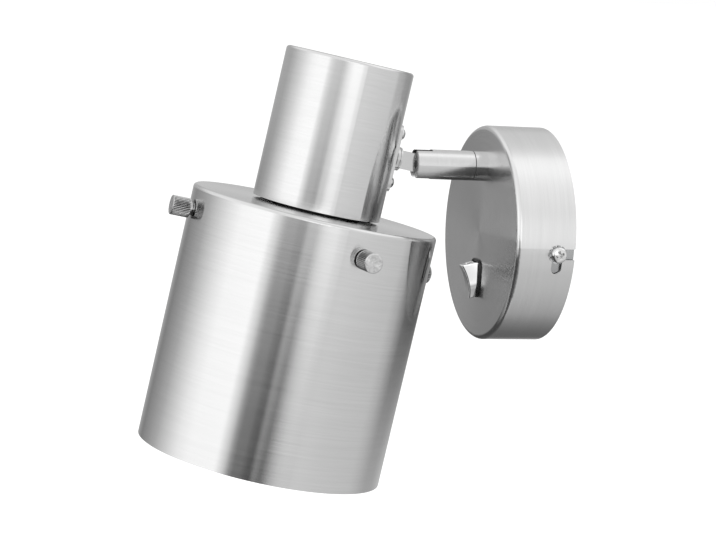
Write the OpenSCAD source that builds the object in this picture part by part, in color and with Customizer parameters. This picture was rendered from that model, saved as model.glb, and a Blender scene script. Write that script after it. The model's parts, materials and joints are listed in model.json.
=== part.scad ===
// Wall light: a closed tube head with a slip-on cylindrical shade, carried by a short
// swivelling and tilting arm on a round canopy with a rocker switch.
// The origin is the centre of the canopy's rim on the wall. +Z is up and the light reaches out along -Y.

/* [Canopy] */
// Outside diameter of the canopy
canopy_d = 101.5; // [92:0.5:130]
// Depth of the canopy, from the wall to its face
canopy_h = 28.5; // [26:0.5:45]
// Sheet thickness of the canopy
canopy_wall = 1.2; // [0.8:0.1:1.6]
// Radius of the canopy's front edge
canopy_edge_r = 2.2; // [1.8:0.1:6]

/* [Wall bracket] */
// Height of the bracket's strap
bracket_w = 28; // [26:1:34]
// Sheet thickness of the bracket
bracket_t = 1.5; // [1:0.1:2.5]
// Height of the space behind the raised middle
bracket_raise = 4; // [3:0.5:6]
// Length of the raised middle
bracket_mid = 38; // [36:1:44]
// Rise of each ear over its screw
ear_rise = 7; // [5:0.5:10]
// Reach of each ear from the wall
ear_h = 14; // [13:0.5:20]
// Distance between the two wall screws
wall_screw_pitch = 66; // [62:1:70]
// Width of the slots for the wall screws
wall_slot_w = 4.5; // [3.5:0.1:6]
// Length of the slots for the wall screws
wall_slot_l = 10; // [7:0.5:12]
// Diameter of the hole for the supply cable
cable_hole_d = 12; // [8:0.5:13]

/* [Side screws] */
// Thread diameter of the canopy's side screws
side_screw_d = 4; // [3:0.5:5]
// Head diameter of the side screws
side_head_d = 7.2; // [6:0.2:8]
// Head height of the side screws
side_head_h = 2.6; // [2:0.1:3.5]
// Diameter of the washers under the side screws
side_washer_d = 8.6; // [8:0.2:10]
// Thickness of those washers
side_washer_t = 0.7; // [0.5:0.1:1]
// Drop of the side screws below the canopy's centre
side_drop = 2.5; // [0:0.5:4]
// Distance of the side screws from the wall
side_out = 8.5; // [8:0.5:9.5]
// Width of the bayonet slots for the side screws
side_slot_w = 5; // [4.6:0.1:5.6]
// Length of each slot's leg, along which the canopy turns
side_slot_leg = 6.6; // [4:0.2:8]

/* [Arm] */
// Distance of the arm's axis below the canopy's top
arm_inset = 19.15; // [16.8:0.05:24]
// Diameter of the arm's collar and sleeve
arm_d = 14; // [13.6:0.1:16]
// Length of the fixed collar
collar_l = 6; // [4:0.5:10]
// Distance from the canopy's face to the tilt pivot
pivot_reach = 31.2; // [31:0.2:45]
// Length of the sleeve in front of the pivot
fork_nose = 3.5; // [3:0.1:5]
// Width of the fork's slot
fork_slot_w = 5.4; // [5:0.1:5.6]
// Diameter of the hollow nipple that holds the arm
nipple_d = 10; // [9:0.5:10]
// Bore for the wires
wire_bore_d = 6.4; // [4:0.2:6.6]
// Length of the nipple inside the canopy
nipple_l = 12; // [9:0.5:14]
// Length of the spigot that the sleeve turns on
spigot_l = 10; // [8:0.5:11]
// Thickness of the friction washer between collar and sleeve
swivel_washer_t = 0.4; // [0.3:0.1:0.8]

/* [Pivot] */
// Diameter of the pivot screw
pivot_d = 3; // [2.5:0.1:3]
// Head diameter of the pivot screw
pivot_head_d = 5; // [4.8:0.1:5.4]
// Head height of the pivot screw
pivot_head_h = 1.5; // [1:0.1:1.8]
// Height of the tongue
tongue_h = 8.4; // [8.2:0.1:9]
// Thickness of each friction washer beside the tongue
pivot_washer_t = 0.2; // [0.1:0.05:0.3]
// Distance from the pivot to the tongue's flange
tongue_reach = 11.2; // [9.2:0.1:20]
// Diameter of the tongue's flange
flange_d = 11; // [10.4:0.1:13]
// Thickness of the tongue's flange
flange_t = 2.4; // [1.5:0.1:3]
// Diameter of the hollow stub behind the flange
stub_d = 8; // [7:0.5:8]
// Length of the stub inside the flange
stub_l = 9; // [8.6:0.1:10]

/* [Head] */
// Tilt of the head's top towards the wall, at rest
head_tilt = 10; // [0:1:40]
// Outside diameter of the holder tube
tube_d = 60; // [57:0.5:62]
// Length of the holder tube
tube_l = 70; // [66:0.5:90]
// Height of the tube's closed top over the pivot
tube_up = 40; // [36:0.5:50]
// Sheet thickness of the tube and the shade
sheet_t = 1; // [0.8:0.1:1.2]
// Radius of the rounded edges of the tube and the shade
sheet_edge_r = 1.6; // [1.3:0.1:4]
// Length of the curved saddle plate
saddle_l = 31.4; // [28:0.2:36]
// Width of the saddle plate
saddle_w = 14; // [12:0.5:18]
// Thickness of the saddle plate
saddle_t = 1.3; // [1:0.1:2]
// Distance between the two saddle screws
saddle_pitch = 23; // [20:0.5:26]
// Thread diameter of the saddle screws
saddle_screw_d = 3; // [2.5:0.5:3]
// Head diameter of the saddle screws
saddle_head_d = 6; // [5:0.2:7]
// Head height of the saddle screws
saddle_head_h = 2.6; // [2.1:0.1:2.9]

/* [Lampholder] */
// Bore of the screw shell for the lamp cap
socket_d = 26.6; // [26.4:0.1:27.4]
// Depth of the screw shell
socket_l = 24; // [20:0.5:26]
// Outside diameter of the lampholder's threaded skirt
skirt_d = 40; // [39:0.5:41]
// Distance of the lampholder's mouth below the shade's top
mouth_drop = 17; // [14:0.5:24]
// Wall of the plastic parts
plastic_t = 2.2; // [1.8:0.1:2.6]
// Height of the bracket arm over the pivot
hanger_up = 16; // [15:0.5:20]

/* [Shade] */
// Outside diameter of the shade
shade_d = 115; // [108:0.5:140]
// Height of the shade
shade_h = 119; // [90:1:160]
// Open gap between the tube's end and the shade
shade_gap = 1.1; // [0.6:0.1:3]
// Diameter of the hole in the shade's top
shade_hole_d = 52; // [51.4:0.2:55]
// Edge of the carrier's rim below its lowest boss
carrier_margin = 0.5; // [0.3:0.1:6]
// Depth of the carrier's plate below its rim's upper edge
carrier_dish = 4; // [3:0.2:4.6]
// Number of air slots in the carrier
vent_n = 12; // [6:1:16]

/* [Thumbscrews] */
// Angle of each thumbscrew from the wall side towards +X
thumb_turns = [-12, 80, 180, 270]; // [-20:1:290]
// Mean distance of the thumbscrews below the shade's top
thumb_drop = 14.7; // [13:0.1:18]
// Diameter of the knurled heads
thumb_d = 9; // [7:0.2:12]
// Length of the knurled heads
thumb_l = 8.6; // [6:0.2:12]
// Length of the plain neck under each head
thumb_neck_l = 0.9; // [0.5:0.1:2]
// Thread diameter of the thumbscrews
thumb_screw_d = 4; // [3:0.5:5]
// Number of knurls round each head
knurl_n = 34; // [16:1:40]

/* [Switch] */
// Distance of the switch's centre above the canopy's lowest point
switch_inset = 29; // [27:0.25:31]
// Width of the rocker
rocker_w = 9.4; // [8:0.1:12]
// Radius of the rocker's round foot about its axle
rocker_r = 7.8; // [7:0.1:8.4]
// Length of the rocker's face from tip to tip
rocker_l = 16.2; // [14:0.2:17]
// Depth of the axle behind the canopy's face
axle_depth = 1.2; // [1.1:0.1:2]
// Height of the rocker's tips over the face, halfway through its travel
rocker_rise = 6.4; // [5:0.1:8]
// Radius of the hollow in the rocker's face
rocker_hollow_r = 26; // [16:1:60]
// Travel of the rocker to each side of its middle
rocker_swing = 16; // [8:1:16]
// Width of the bezel's edge outside the housing
bezel_lip = 0.7; // [0.5:0.1:1.5]
// Thickness of the bezel
bezel_t = 0.9; // [0.6:0.1:1.2]
// Depth of the switch housing behind the face
switch_depth = 14; // [12:0.5:16]

/* [Terminals] */
// Length of the terminal block
block_l = 20; // [18:0.5:21]
// Width of the terminal block
block_w = 11; // [10:0.5:11]
// Height of the terminal block
block_h = 10; // [9:0.5:11]
// Diameter of the insulated wires
wire_d = 1.8; // [1.2:0.1:2]

/* [Fits] */
// Clearance all round a turning or threaded fit
fit = 0.05; // [0.03:0.01:0.08]
// Clearance all round a passing screw
pass_fit = 0.15; // [0.1:0.05:0.2]
// Gap between pieces that move past each other
run_gap = 0.1; // [0.05:0.05:0.2]
// Gap between the shade and its carrier
slip_gap = 0.5; // [0.3:0.1:0.8]

/* [Hidden] */
$fn = 72;
// Overrun of the cuts
cut = 1;
// Shares of a screw's head: recess, rounding, dome and slot
recess_w_share = 0.16;
recess_l_share = 0.55;
pan_edge_share = 0.45;
dome_share = 0.72;
slot_w_share = 0.18;

// Canopy and bracket
canopy_r = canopy_d / 2;
// Rise of the arm and drop of the switch from the canopy's centre
arm_rise = canopy_r - arm_inset;
switch_drop = canopy_r - switch_inset;
canopy_in_r = canopy_r - canopy_wall;
face_in = canopy_h - canopy_wall;
// Gap between the ears and the canopy's wall
ear_gap = 0.4;
ear_r = canopy_in_r - ear_gap;
ear_corner_r = 3;
mid_top = bracket_raise + bracket_t;
side_screw_l = 9;
// The earth screw stands beside the cable hole
earth_x = -(cable_hole_d / 2 + bracket_mid / 2) / 2;
earth_d = 4;
earth_head_d = 7;
earth_head_h = 2.4;
earth_l = 6;

// Arm
nipple_washer_t = 0.8;
nipple_washer_d = 17;
nut_t = 3;
nut_af = 14;
sleeve_start = canopy_h + collar_l + swivel_washer_t;
pivot_out = canopy_h + pivot_reach;
sleeve_end = pivot_out + fork_nose;
tongue_r = tongue_h / 2;
// Space behind the tongue's round end
slot_relief = 0.4;
slot_start = pivot_out - tongue_r - slot_relief;
arm_chamfer = 0.4;
groove_w = 2.6;
groove_d = 1;
groove_out = 4;
grub_d = 3;
grub_tip_d = 2;
// Clearance of the grub screw's tip over the groove
grub_gap = 0.2;
grub_sink = 0.3;

// Pivot
pivot_sink = 0.5;
pivot_head_x = arm_d / 2 - pivot_sink;
pivot_seat_x = pivot_head_x - pivot_head_h;
// Wall left outside the blind hole of the pivot screw
pivot_skin = 0.9;
pivot_tip_x = arm_d / 2 - pivot_skin;
tip_gap = 0.2;
tongue_w = fork_slot_w - 2 * pivot_washer_t - 2 * run_gap;
wire_way_d = 2;
wire_way_z = (pivot_d / 2 + tongue_r) / 2 + fit;

// Head
tube_r = tube_d / 2;
tube_in_r = tube_r - sheet_t;
tube_down = tube_l - tube_up;
saddle_fit = 0.05;
saddle_out_r = tube_r + saddle_fit + saddle_t;
saddle_corner_r = 4;
flange_in = saddle_out_r + saddle_fit;
// Distance from the pivot to the tube's axis
tube_reach = flange_in + flange_t + tongue_reach;
// Groove round the flange's edge
flange_groove_up = 1.3;
flange_groove_w = 0.3;
flange_groove_depth = 0.5;
hanger_t = 1.6;
hanger_w = saddle_w;
// The hanger's flat back meets the tube's wall along its two edges
hanger_back = sqrt(pow(tube_in_r, 2) - pow(hanger_w / 2, 2)) - run_gap;
hanger_front = hanger_back - hanger_t;
hanger_arm_w = 18;
hanger_hole_d = 6.4;
hanger_hole_n = 15;
hanger_foot = saddle_l / 2;
stub_nut_t = 3;
stub_nut_af = 11;
stub_bore_d = 5;
saddle_screw_l = 6;
holder_nipple_up = 5;
holder_nipple_down = 10;

// Shade, carrier and lampholder, measured down from the pivot's level along the tube
shade_top = tube_down + shade_gap;
shade_r = shade_d / 2;
shade_in_r = shade_r - sheet_t;
carrier_t = 1.5;
carrier_top = shade_top + sheet_t + slip_gap;
carrier_r = shade_in_r - slip_gap;
plate_top = carrier_top + carrier_dish;
carrier_rim_t = 1.2;
boss_d = 9;
boss_l = 6;
// Distance of each thumbscrew below the shade's top, as a share of their mean
thumb_drop_shares = [1.4, 0.87, 0.76, 0.97];
thumb_drops = thumb_drop * thumb_drop_shares;
// Height of the carrier's rim inside the shade
carrier_h = max(thumb_drops) + boss_d / 2 + carrier_margin - sheet_t - slip_gap;
skirt_r = skirt_d / 2;
ring_h = 3.6;
ring_r = shade_hole_d / 2 - slip_gap;
mouth = shade_top + mouth_drop;
mouth_t = 2;
shell_t = 0.7;
shell_r = socket_d / 2 + shell_t;
core_h = 9;
core_bottom = mouth - mouth_t - socket_l;
core_top = core_bottom - core_h;
// The cap screws on where the core's upper face lies
cap_joint = core_top;
cap_r = skirt_r - run_gap;
// Height of the cap's plain band under its cone
cap_band = 4;
cap_hub_r = 8;
cap_hub_h = 6;
cap_top = -(hanger_up - hanger_t) + run_gap;
contact_r = 5;
contact_t = 0.8;
contact_l = 2;
// Depth of the contact's tip in its pocket in the core
contact_sink = 0.3;
// Plate left between the air slots and the shade's hole, and between them and the bosses
vent_margin = 3.6;
vent_space = 3;
vent_in = shade_hole_d / 2 + vent_margin;
vent_out = carrier_r - boss_l - vent_space;
vent_w = 5;

// Thumbscrews
thumb_seat = shade_r + run_gap;
// Rim of the neck round the thread
thumb_neck_rim = 1;
thumb_neck_d = thumb_screw_d + 2 * thumb_neck_rim;
thumb_chamfer = 0.6;
thumb_shank_in = carrier_r - boss_l;
knurl_depth = 0.35;

// Switch
housing_wall = 0.6;
opening_w = rocker_w + 2 * run_gap;
opening_h = 2 * rocker_r + 2 * run_gap;
housing_w = opening_w + 2 * housing_wall;
housing_h = opening_h + 2 * housing_wall;
cut_gap = 0.1;
axle_d = 2;
rocker_base = 3;
cavity_depth = axle_depth + rocker_r * sin(rocker_swing + asin(rocker_base / rocker_r)) + run_gap;
blade_w = 4.8;
blade_t = 0.8;
blade_l = 7;
blade_pitch = 8;

// Terminal block
pole_n = 3;
pole_d = 3;
block_x = cable_hole_d / 2 + (bracket_mid / 2 - cable_hole_d / 2 - block_w) / 2;
tower_d = 5;
block_base_share = 0.62;
term_screw_head_d = 3.4;
term_screw_l = 4;

// Points of the wires
wire_steps = 14;
wire_sides = 8;
wire_handle = 14;
wire_space_share = 0.6;

// Outline of a closed-ended cup about the Z axis, filled
module filled_cup(r, h, edge) {
    intersection() {
        square([r, h]);
        union() {
            square([r, h - edge]);
            square([r - edge, h]);
            translate([r - edge, h - edge])
                circle(edge);
        }
    }
}

// Thin cup, open at z = 0 and closed at z = h
module cup(r, h, wall, edge) {
    rotate_extrude()
        difference() {
            filled_cup(r, h, edge);
            translate([0, -cut])
                filled_cup(r - wall, h - wall + cut, edge - wall);
        }
}

module ring(r_out, r_in, h) {
    difference() {
        cylinder(r = r_out, h = h);
        translate([0, 0, -cut])
            cylinder(r = r_in, h = h + 2 * cut);
    }
}

module round_rect(w, h, r) {
    square([w - 2 * r, h], center = true);
    square([w, h - 2 * r], center = true);
    for (x = [-1, 1], y = [-1, 1])
        translate([x * (w / 2 - r), y * (h / 2 - r)])
            circle(r);
}

// Slot of overall length l and width w along X
module slot(l, w) {
    square([l - w, w], center = true);
    for (x = [-1, 1])
        translate([x * (l - w) / 2, 0])
            circle(w / 2);
}

module hex_nut(af, d, h) {
    difference() {
        cylinder(d = af / cos(30), h = h, $fn = 6);
        translate([0, 0, -cut])
            cylinder(r = d / 2 + fit, h = h + 2 * cut);
    }
}

// Screw whose head has the outline of its child and a cross recess: the head stands on z = 0
module cross_screw(d, l, head_d, head_h) {
    recess_w = head_d * recess_w_share;
    recess_l = head_d * recess_l_share;
    difference() {
        rotate_extrude()
            children();
        for (a = [0, 90])
            rotate([0, 0, a])
                translate([-recess_l / 2, -recess_w / 2, head_h / 2])
                    cube([recess_l, recess_w, head_h]);
    }
    translate([0, 0, -l])
        cylinder(d = d, h = l);
}

module pan_screw(d, l, head_d, head_h) {
    cross_screw(d, l, head_d, head_h)
        filled_cup(head_d / 2, head_h, head_h * pan_edge_share);
}

// Screw with a domed head
module domed_screw(d, l, head_d, head_h) {
    dome_h = head_h * dome_share;
    dome_r = (pow(head_d / 2, 2) + pow(dome_h, 2)) / (2 * dome_h);
    cross_screw(d, l, head_d, head_h)
        intersection() {
            square([head_d / 2, head_h]);
            translate([0, head_h - dome_r])
                circle(dome_r);
        }
}

// Frame of the wall side: local Y is up and local Z points out from the wall
module out() {
    rotate([90, 0, 0])
        children();
}

// Frame of the arm: its axis is local Z, measured from the wall
module arm_frame() {
    out()
        translate([0, arm_rise, 0])
            children();
}

// Frame of the head: origin on the pivot, Z along the tube, Y towards the wall
module head_frame() {
    translate([0, -pivot_out, arm_rise])
        rotate([-head_tilt, 0, 0])
            children();
}

// Frame of the tube's axis, at the pivot's level
module tube_frame() {
    head_frame()
        translate([0, -tube_reach, 0])
            children();
}

// Frame that points out from the tube's axis towards the wall side
module wall_side(z) {
    translate([0, 0, z])
        rotate([-90, 0, 0])
            children();
}

// Place of thumbscrew i in the tube's frame: local Z points out from the shade's axis
module thumb_frame(i) {
    translate([0, 0, -shade_top - thumb_drops[i]])
        rotate([0, 0, -thumb_turns[i]])
            rotate([-90, 0, 0])
                children();
}

module each_thumb() {
    for (i = [0 : len(thumb_turns) - 1])
        thumb_frame(i)
            children();
}

module switch_frame() {
    out()
        translate([0, -switch_drop, canopy_h])
            children();
}

module each_side() {
    for (m = [0, 1])
        mirror([m, 0, 0])
            children();
}

// Both ends of the bracket, half a turn apart
module each_end() {
    for (a = [0, 180])
        rotate([0, 0, a])
            children();
}

// Side screw place at distance r from the canopy's axis: local Z points out through its side
module side_frame(r) {
    out()
        each_end()
            translate([r, -side_drop, side_out])
                rotate([0, 90, 0])
                    children();
}

// Curved ear behind the bayonet slot, from the strap's lower edge to above the screw
module bracket_ear() {
    low = -bracket_w / 2;
    high = ear_rise - side_drop;
    intersection() {
        ring(ear_r, ear_r - bracket_t, ear_h);
        translate([0, 0, ear_h])
            rotate([0, 90, 0])
                linear_extrude(canopy_r)
                    union() {
                        translate([ear_corner_r, low])
                            square([ear_h, high - low]);
                        translate([0, low + ear_corner_r])
                            square([ear_h, high - low - 2 * ear_corner_r]);
                        for (y = [low + ear_corner_r, high - ear_corner_r])
                            translate([ear_corner_r, y])
                                circle(ear_corner_r);
                    }
    }
}

module wall_bracket() {
    bend = bracket_t * tan(22.5);
    half = bracket_mid / 2;
    color("lightsteelblue")
        difference() {
            out()
                difference() {
                    union() {
                        intersection() {
                            rotate([90, 0, 0])
                                linear_extrude(bracket_w, center = true)
                                    polygon([[-ear_r, 0], [-half - bracket_raise, 0], [-half, bracket_raise],
                                        [half, bracket_raise], [half + bracket_raise, 0], [ear_r, 0],
                                        [ear_r, bracket_t], [half + bracket_raise + bend, bracket_t],
                                        [half + bend, mid_top], [-half - bend, mid_top],
                                        [-half - bracket_raise - bend, bracket_t], [-ear_r, bracket_t]]);
                            cylinder(r = ear_r, h = mid_top);
                        }
                        each_end()
                            bracket_ear();
                    }
                    for (x = [-1, 1])
                        translate([x * wall_screw_pitch / 2, 0, -cut])
                            linear_extrude(bracket_t + 2 * cut)
                                slot(wall_slot_l, wall_slot_w);
                    cylinder(d = cable_hole_d, h = mid_top + cut);
                    translate([earth_x, 0, 0])
                        cylinder(r = earth_d / 2 + fit, h = mid_top + cut);
                }
            side_frame(0)
                cylinder(r = side_screw_d / 2 + fit, h = canopy_r);
        }
}

// L-shaped bayonet slot about its screw, drawn with X towards the wall and Y up
module bayonet_slot() {
    half_w = side_slot_w / 2;
    circle(half_w);
    translate([0, -half_w])
        square([side_out + cut, side_slot_w]);
    translate([-half_w, -side_slot_leg])
        square([side_slot_w, side_slot_leg]);
    translate([0, -side_slot_leg])
        circle(half_w);
}

module canopy() {
    color("gainsboro")
        difference() {
            out()
                difference() {
                    cup(canopy_r, canopy_h, canopy_wall, canopy_edge_r);
                    translate([0, arm_rise, face_in - cut])
                        cylinder(r = nipple_d / 2 + pass_fit, h = canopy_wall + 2 * cut);
                    translate([0, -switch_drop, face_in - cut])
                        linear_extrude(canopy_wall + 2 * cut)
                            square([housing_w + 2 * cut_gap, housing_h + 2 * cut_gap], center = true);
                }
            side_frame(canopy_r / 2)
                linear_extrude(canopy_r)
                    bayonet_slot();
        }
}

module canopy_screws() {
    color("silver")
        side_frame(canopy_r + side_washer_t)
            pan_screw(side_screw_d, side_screw_l, side_head_d, side_head_h);
}

module canopy_washers() {
    color("darkgray")
        side_frame(canopy_r)
            ring(side_washer_d / 2, side_screw_d / 2 + pass_fit, side_washer_t);
}

module arm_base() {
    spigot_top = sleeve_start + spigot_l;
    color("silver")
        arm_frame()
            difference() {
                union() {
                    translate([0, 0, canopy_h - nipple_l])
                        cylinder(d = nipple_d, h = spigot_top - canopy_h + nipple_l);
                    translate([0, 0, canopy_h])
                        cylinder(d = arm_d, h = collar_l);
                }
                translate([0, 0, canopy_h - nipple_l - cut])
                    cylinder(d = wire_bore_d, h = spigot_top + nipple_l + 2 * cut);
                translate([0, 0, sleeve_start + groove_out - groove_w / 2])
                    ring(nipple_d / 2 + cut, nipple_d / 2 - groove_d, groove_w);
            }
}

module arm_lock_washer() {
    color("darkgray")
        arm_frame()
            translate([0, 0, face_in - nipple_washer_t])
                ring(nipple_washer_d / 2, nipple_d / 2 + pass_fit, nipple_washer_t);
}

module arm_nut() {
    color("silver")
        arm_frame()
            translate([0, 0, face_in - nipple_washer_t - nut_t])
                hex_nut(nut_af, nipple_d, nut_t);
}

module swivel_washer() {
    color("dimgray")
        arm_frame()
            translate([0, 0, canopy_h + collar_l])
                ring(arm_d / 2 - arm_chamfer, nipple_d / 2 + pass_fit, swivel_washer_t - run_gap);
}

module fork_sleeve() {
    color("silver")
        arm_frame()
            difference() {
                rotate_extrude()
                    polygon([[0, sleeve_start], [arm_d / 2, sleeve_start],
                        [arm_d / 2, sleeve_end - arm_chamfer], [arm_d / 2 - arm_chamfer, sleeve_end],
                        [0, sleeve_end]]);
                translate([0, 0, sleeve_start - cut])
                    cylinder(r = nipple_d / 2 + fit, h = spigot_l + slot_relief + cut);
                translate([0, 0, sleeve_start])
                    cylinder(d = wire_bore_d, h = sleeve_end);
                translate([-fork_slot_w / 2, -arm_d, slot_start])
                    cube([fork_slot_w, 2 * arm_d, sleeve_end]);
                translate([0, 0, pivot_out])
                    rotate([0, 90, 0]) {
                        translate([0, 0, -arm_d])
                            cylinder(r = pivot_d / 2 + fit, h = arm_d + pivot_tip_x);
                        translate([0, 0, -arm_d])
                            cylinder(r = pivot_head_d / 2 + pass_fit, h = arm_d - pivot_seat_x);
                    }
                translate([0, 0, sleeve_start + groove_out])
                    rotate([0, -90, 0])
                        cylinder(r = grub_d / 2 + fit, h = arm_d);
            }
}

module swivel_grub() {
    tip = nipple_d / 2 - groove_d + grub_gap;
    shoulder = nipple_d / 2 + grub_gap;
    head = arm_d / 2 - grub_sink;
    color("dimgray")
        arm_frame()
            translate([0, 0, sleeve_start + groove_out])
                rotate([0, -90, 0])
                    difference() {
                        union() {
                            translate([0, 0, tip])
                                cylinder(d = grub_tip_d, h = head - tip);
                            translate([0, 0, shoulder])
                                cylinder(d = grub_d, h = head - shoulder);
                        }
                        translate([0, 0, head - grub_d / 4])
                            cylinder(d = grub_d / 2, h = grub_d, $fn = 6);
                    }
}

module pivot_screw() {
    tip = pivot_tip_x - tip_gap;
    drive_w = pivot_head_d * slot_w_share;
    color("silver")
        arm_frame()
            translate([0, 0, pivot_out])
                rotate([0, 90, 0])
                    difference() {
                        union() {
                            translate([0, 0, -pivot_head_x])
                                cylinder(d = pivot_head_d, h = pivot_head_h);
                            translate([0, 0, -pivot_seat_x])
                                cylinder(d = pivot_d, h = pivot_seat_x + tip);
                        }
                        translate([-pivot_head_d, -drive_w / 2, -pivot_head_x - cut])
                            cube([2 * pivot_head_d, drive_w, pivot_head_h / 2 + cut]);
                    }
}

module pivot_washers() {
    color("dimgray")
        arm_frame()
            translate([0, 0, pivot_out])
                each_side()
                    translate([fork_slot_w / 2 - pivot_washer_t, 0, 0])
                        rotate([0, 90, 0])
                            ring(tongue_r - run_gap, pivot_d / 2 + fit, pivot_washer_t);
}

module tongue() {
    flange_out = flange_in + flange_t;
    color("silver")
        head_frame()
            difference() {
                union() {
                    rotate([0, 90, 0])
                        cylinder(r = tongue_r, h = tongue_w, center = true);
                    translate([-tongue_w / 2, -tube_reach + flange_in, -tongue_r])
                        cube([tongue_w, tube_reach - flange_in, tongue_h]);
                    translate([0, -tube_reach, 0])
                        wall_side(0) {
                            translate([0, 0, flange_in])
                                cylinder(d = flange_d, h = flange_t);
                            translate([0, 0, flange_in - stub_l])
                                cylinder(d = stub_d, h = stub_l);
                        }
                }
                rotate([0, 90, 0])
                    cylinder(r = pivot_d / 2 + fit, h = 2 * tongue_w, center = true);
                translate([0, -tube_reach, 0])
                    wall_side(0)
                        translate([0, 0, flange_in - stub_l - cut])
                            cylinder(d = stub_bore_d, h = stub_l + flange_t / 2 + cut);
                translate([0, -tube_reach, 0])
                    wall_side(0)
                        translate([0, 0, flange_in + flange_groove_up])
                            ring(flange_d / 2 + cut, flange_d / 2 - flange_groove_depth, flange_groove_w);
                translate([0, -tube_reach, 0])
                    wall_side(wire_way_z)
                        translate([0, 0, flange_in])
                            cylinder(d = wire_way_d, h = tube_reach);
            }
}

module tongue_nut() {
    color("silver")
        tube_frame()
            wall_side(0)
                translate([0, 0, hanger_front - stub_nut_t])
                    hex_nut(stub_nut_af, stub_d, stub_nut_t);
}

module saddle_plate() {
    color("silver")
        tube_frame()
            difference() {
                intersection() {
                    translate([0, 0, -saddle_l])
                        ring(saddle_out_r, tube_r + saddle_fit, 2 * saddle_l);
                    wall_side(0)
                        linear_extrude(tube_d)
                            round_rect(saddle_w, saddle_l, saddle_corner_r);
                }
                wall_side(0)
                    cylinder(r = stub_d / 2 + pass_fit, h = tube_d);
                for (z = [-1, 1])
                    wall_side(z * saddle_pitch / 2)
                        cylinder(r = saddle_screw_d / 2 + pass_fit, h = tube_d);
            }
}

module saddle_screws() {
    color("silver")
        tube_frame()
            for (z = [-1, 1])
                wall_side(z * saddle_pitch / 2)
                    translate([0, 0, flange_in])
                        domed_screw(saddle_screw_d, saddle_screw_l, saddle_head_d, saddle_head_h);
}

module holder_tube() {
    color("gainsboro")
        tube_frame()
            difference() {
                translate([0, 0, -tube_down])
                    cup(tube_r, tube_l, sheet_t, sheet_edge_r);
                wall_side(0)
                    cylinder(r = stub_d / 2 + pass_fit, h = tube_d);
                for (z = [-1, 1])
                    wall_side(z * saddle_pitch / 2)
                        cylinder(r = saddle_screw_d / 2 + pass_fit, h = tube_d);
            }
}

module holder_bracket() {
    color("lightsteelblue")
        tube_frame()
            difference() {
                union() {
                    translate([-hanger_w / 2, hanger_front, -hanger_foot])
                        cube([hanger_w, hanger_t, hanger_foot + hanger_up]);
                    translate([-hanger_w / 2, 0, hanger_up - hanger_t])
                        cube([hanger_w, hanger_back, hanger_t]);
                    translate([0, 0, hanger_up - hanger_t])
                        cylinder(d = hanger_arm_w, h = hanger_t);
                }
                translate([0, 0, hanger_up - hanger_t - cut])
                    cylinder(r = nipple_d / 2 + pass_fit, h = hanger_t + 2 * cut);
                translate([0, hanger_hole_n, hanger_up - hanger_t - cut])
                    cylinder(d = hanger_hole_d, h = hanger_t + 2 * cut);
                wall_side(0)
                    cylinder(r = stub_d / 2 + pass_fit, h = tube_d);
                for (z = [-1, 1])
                    wall_side(z * saddle_pitch / 2)
                        cylinder(r = saddle_screw_d / 2 + fit, h = tube_d);
            }
}

module holder_nipple() {
    color("silver")
        tube_frame()
            translate([0, 0, hanger_up - hanger_t - holder_nipple_down])
                ring(nipple_d / 2, wire_bore_d / 2, holder_nipple_down + hanger_t + holder_nipple_up);
}

module holder_nut() {
    color("silver")
        tube_frame()
            translate([0, 0, hanger_up])
                hex_nut(nut_af, nipple_d, nut_t);
}

module lampholder_cap() {
    shoulder = -cap_top - cap_hub_h;
    band = -cap_joint + cap_band;
    in_r = cap_r - plastic_t;
    color("dimgray")
        tube_frame()
            difference() {
                rotate_extrude()
                    polygon([[0, -cap_joint], [cap_r, -cap_joint], [cap_r, band], [cap_hub_r, shoulder],
                        [cap_hub_r, -cap_top], [0, -cap_top]]);
                rotate_extrude()
                    polygon([[0, -cap_joint - cut], [in_r, -cap_joint - cut], [in_r, band],
                        [cap_hub_r - plastic_t, shoulder - plastic_t], [0, shoulder - plastic_t]]);
                translate([0, 0, -cap_joint])
                    cylinder(r = nipple_d / 2 + fit, h = cap_joint - cap_top + cut);
            }
}

module lampholder_body() {
    color("dimgray")
        tube_frame()
            difference() {
                translate([0, 0, -mouth])
                    cylinder(r = skirt_r, h = mouth - cap_joint);
                translate([0, 0, -mouth + mouth_t])
                    cylinder(r = skirt_r - plastic_t, h = mouth);
                translate([0, 0, -mouth - cut])
                    cylinder(r = shell_r + run_gap, h = mouth);
            }
}

module lampholder_core() {
    color("ivory")
        tube_frame()
            difference() {
                translate([0, 0, -core_bottom])
                    cylinder(r = skirt_r - plastic_t - run_gap, h = core_h);
                translate([0, 0, -core_bottom - cut])
                    cylinder(r = contact_r + run_gap, h = contact_l + contact_sink + cut);
                for (x = [-1, 1])
                    translate([x * skirt_r / 2, 0, -core_top - core_h / 2])
                        cylinder(d = pole_d * 2, h = core_h);
            }
}

module lampholder_shell() {
    color("goldenrod")
        tube_frame()
            translate([0, 0, -mouth + mouth_t / 2])
                ring(shell_r, socket_d / 2, socket_l + mouth_t / 2);
}

module lampholder_contact() {
    color("goldenrod")
        tube_frame()
            translate([0, 0, -core_bottom + contact_sink]) {
                cylinder(r = contact_r / 2, h = contact_l);
                translate([0, 0, contact_l - contact_t])
                    cylinder(r = contact_r, h = contact_t);
            }
}

module shade_ring_upper() {
    color("dimgray")
        tube_frame()
            translate([0, 0, -plate_top])
                ring(ring_r, skirt_r + fit, ring_h);
}

module shade_ring_lower() {
    color("dimgray")
        tube_frame()
            translate([0, 0, -plate_top - carrier_t - ring_h])
                ring(ring_r, skirt_r + fit, ring_h);
}

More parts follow.
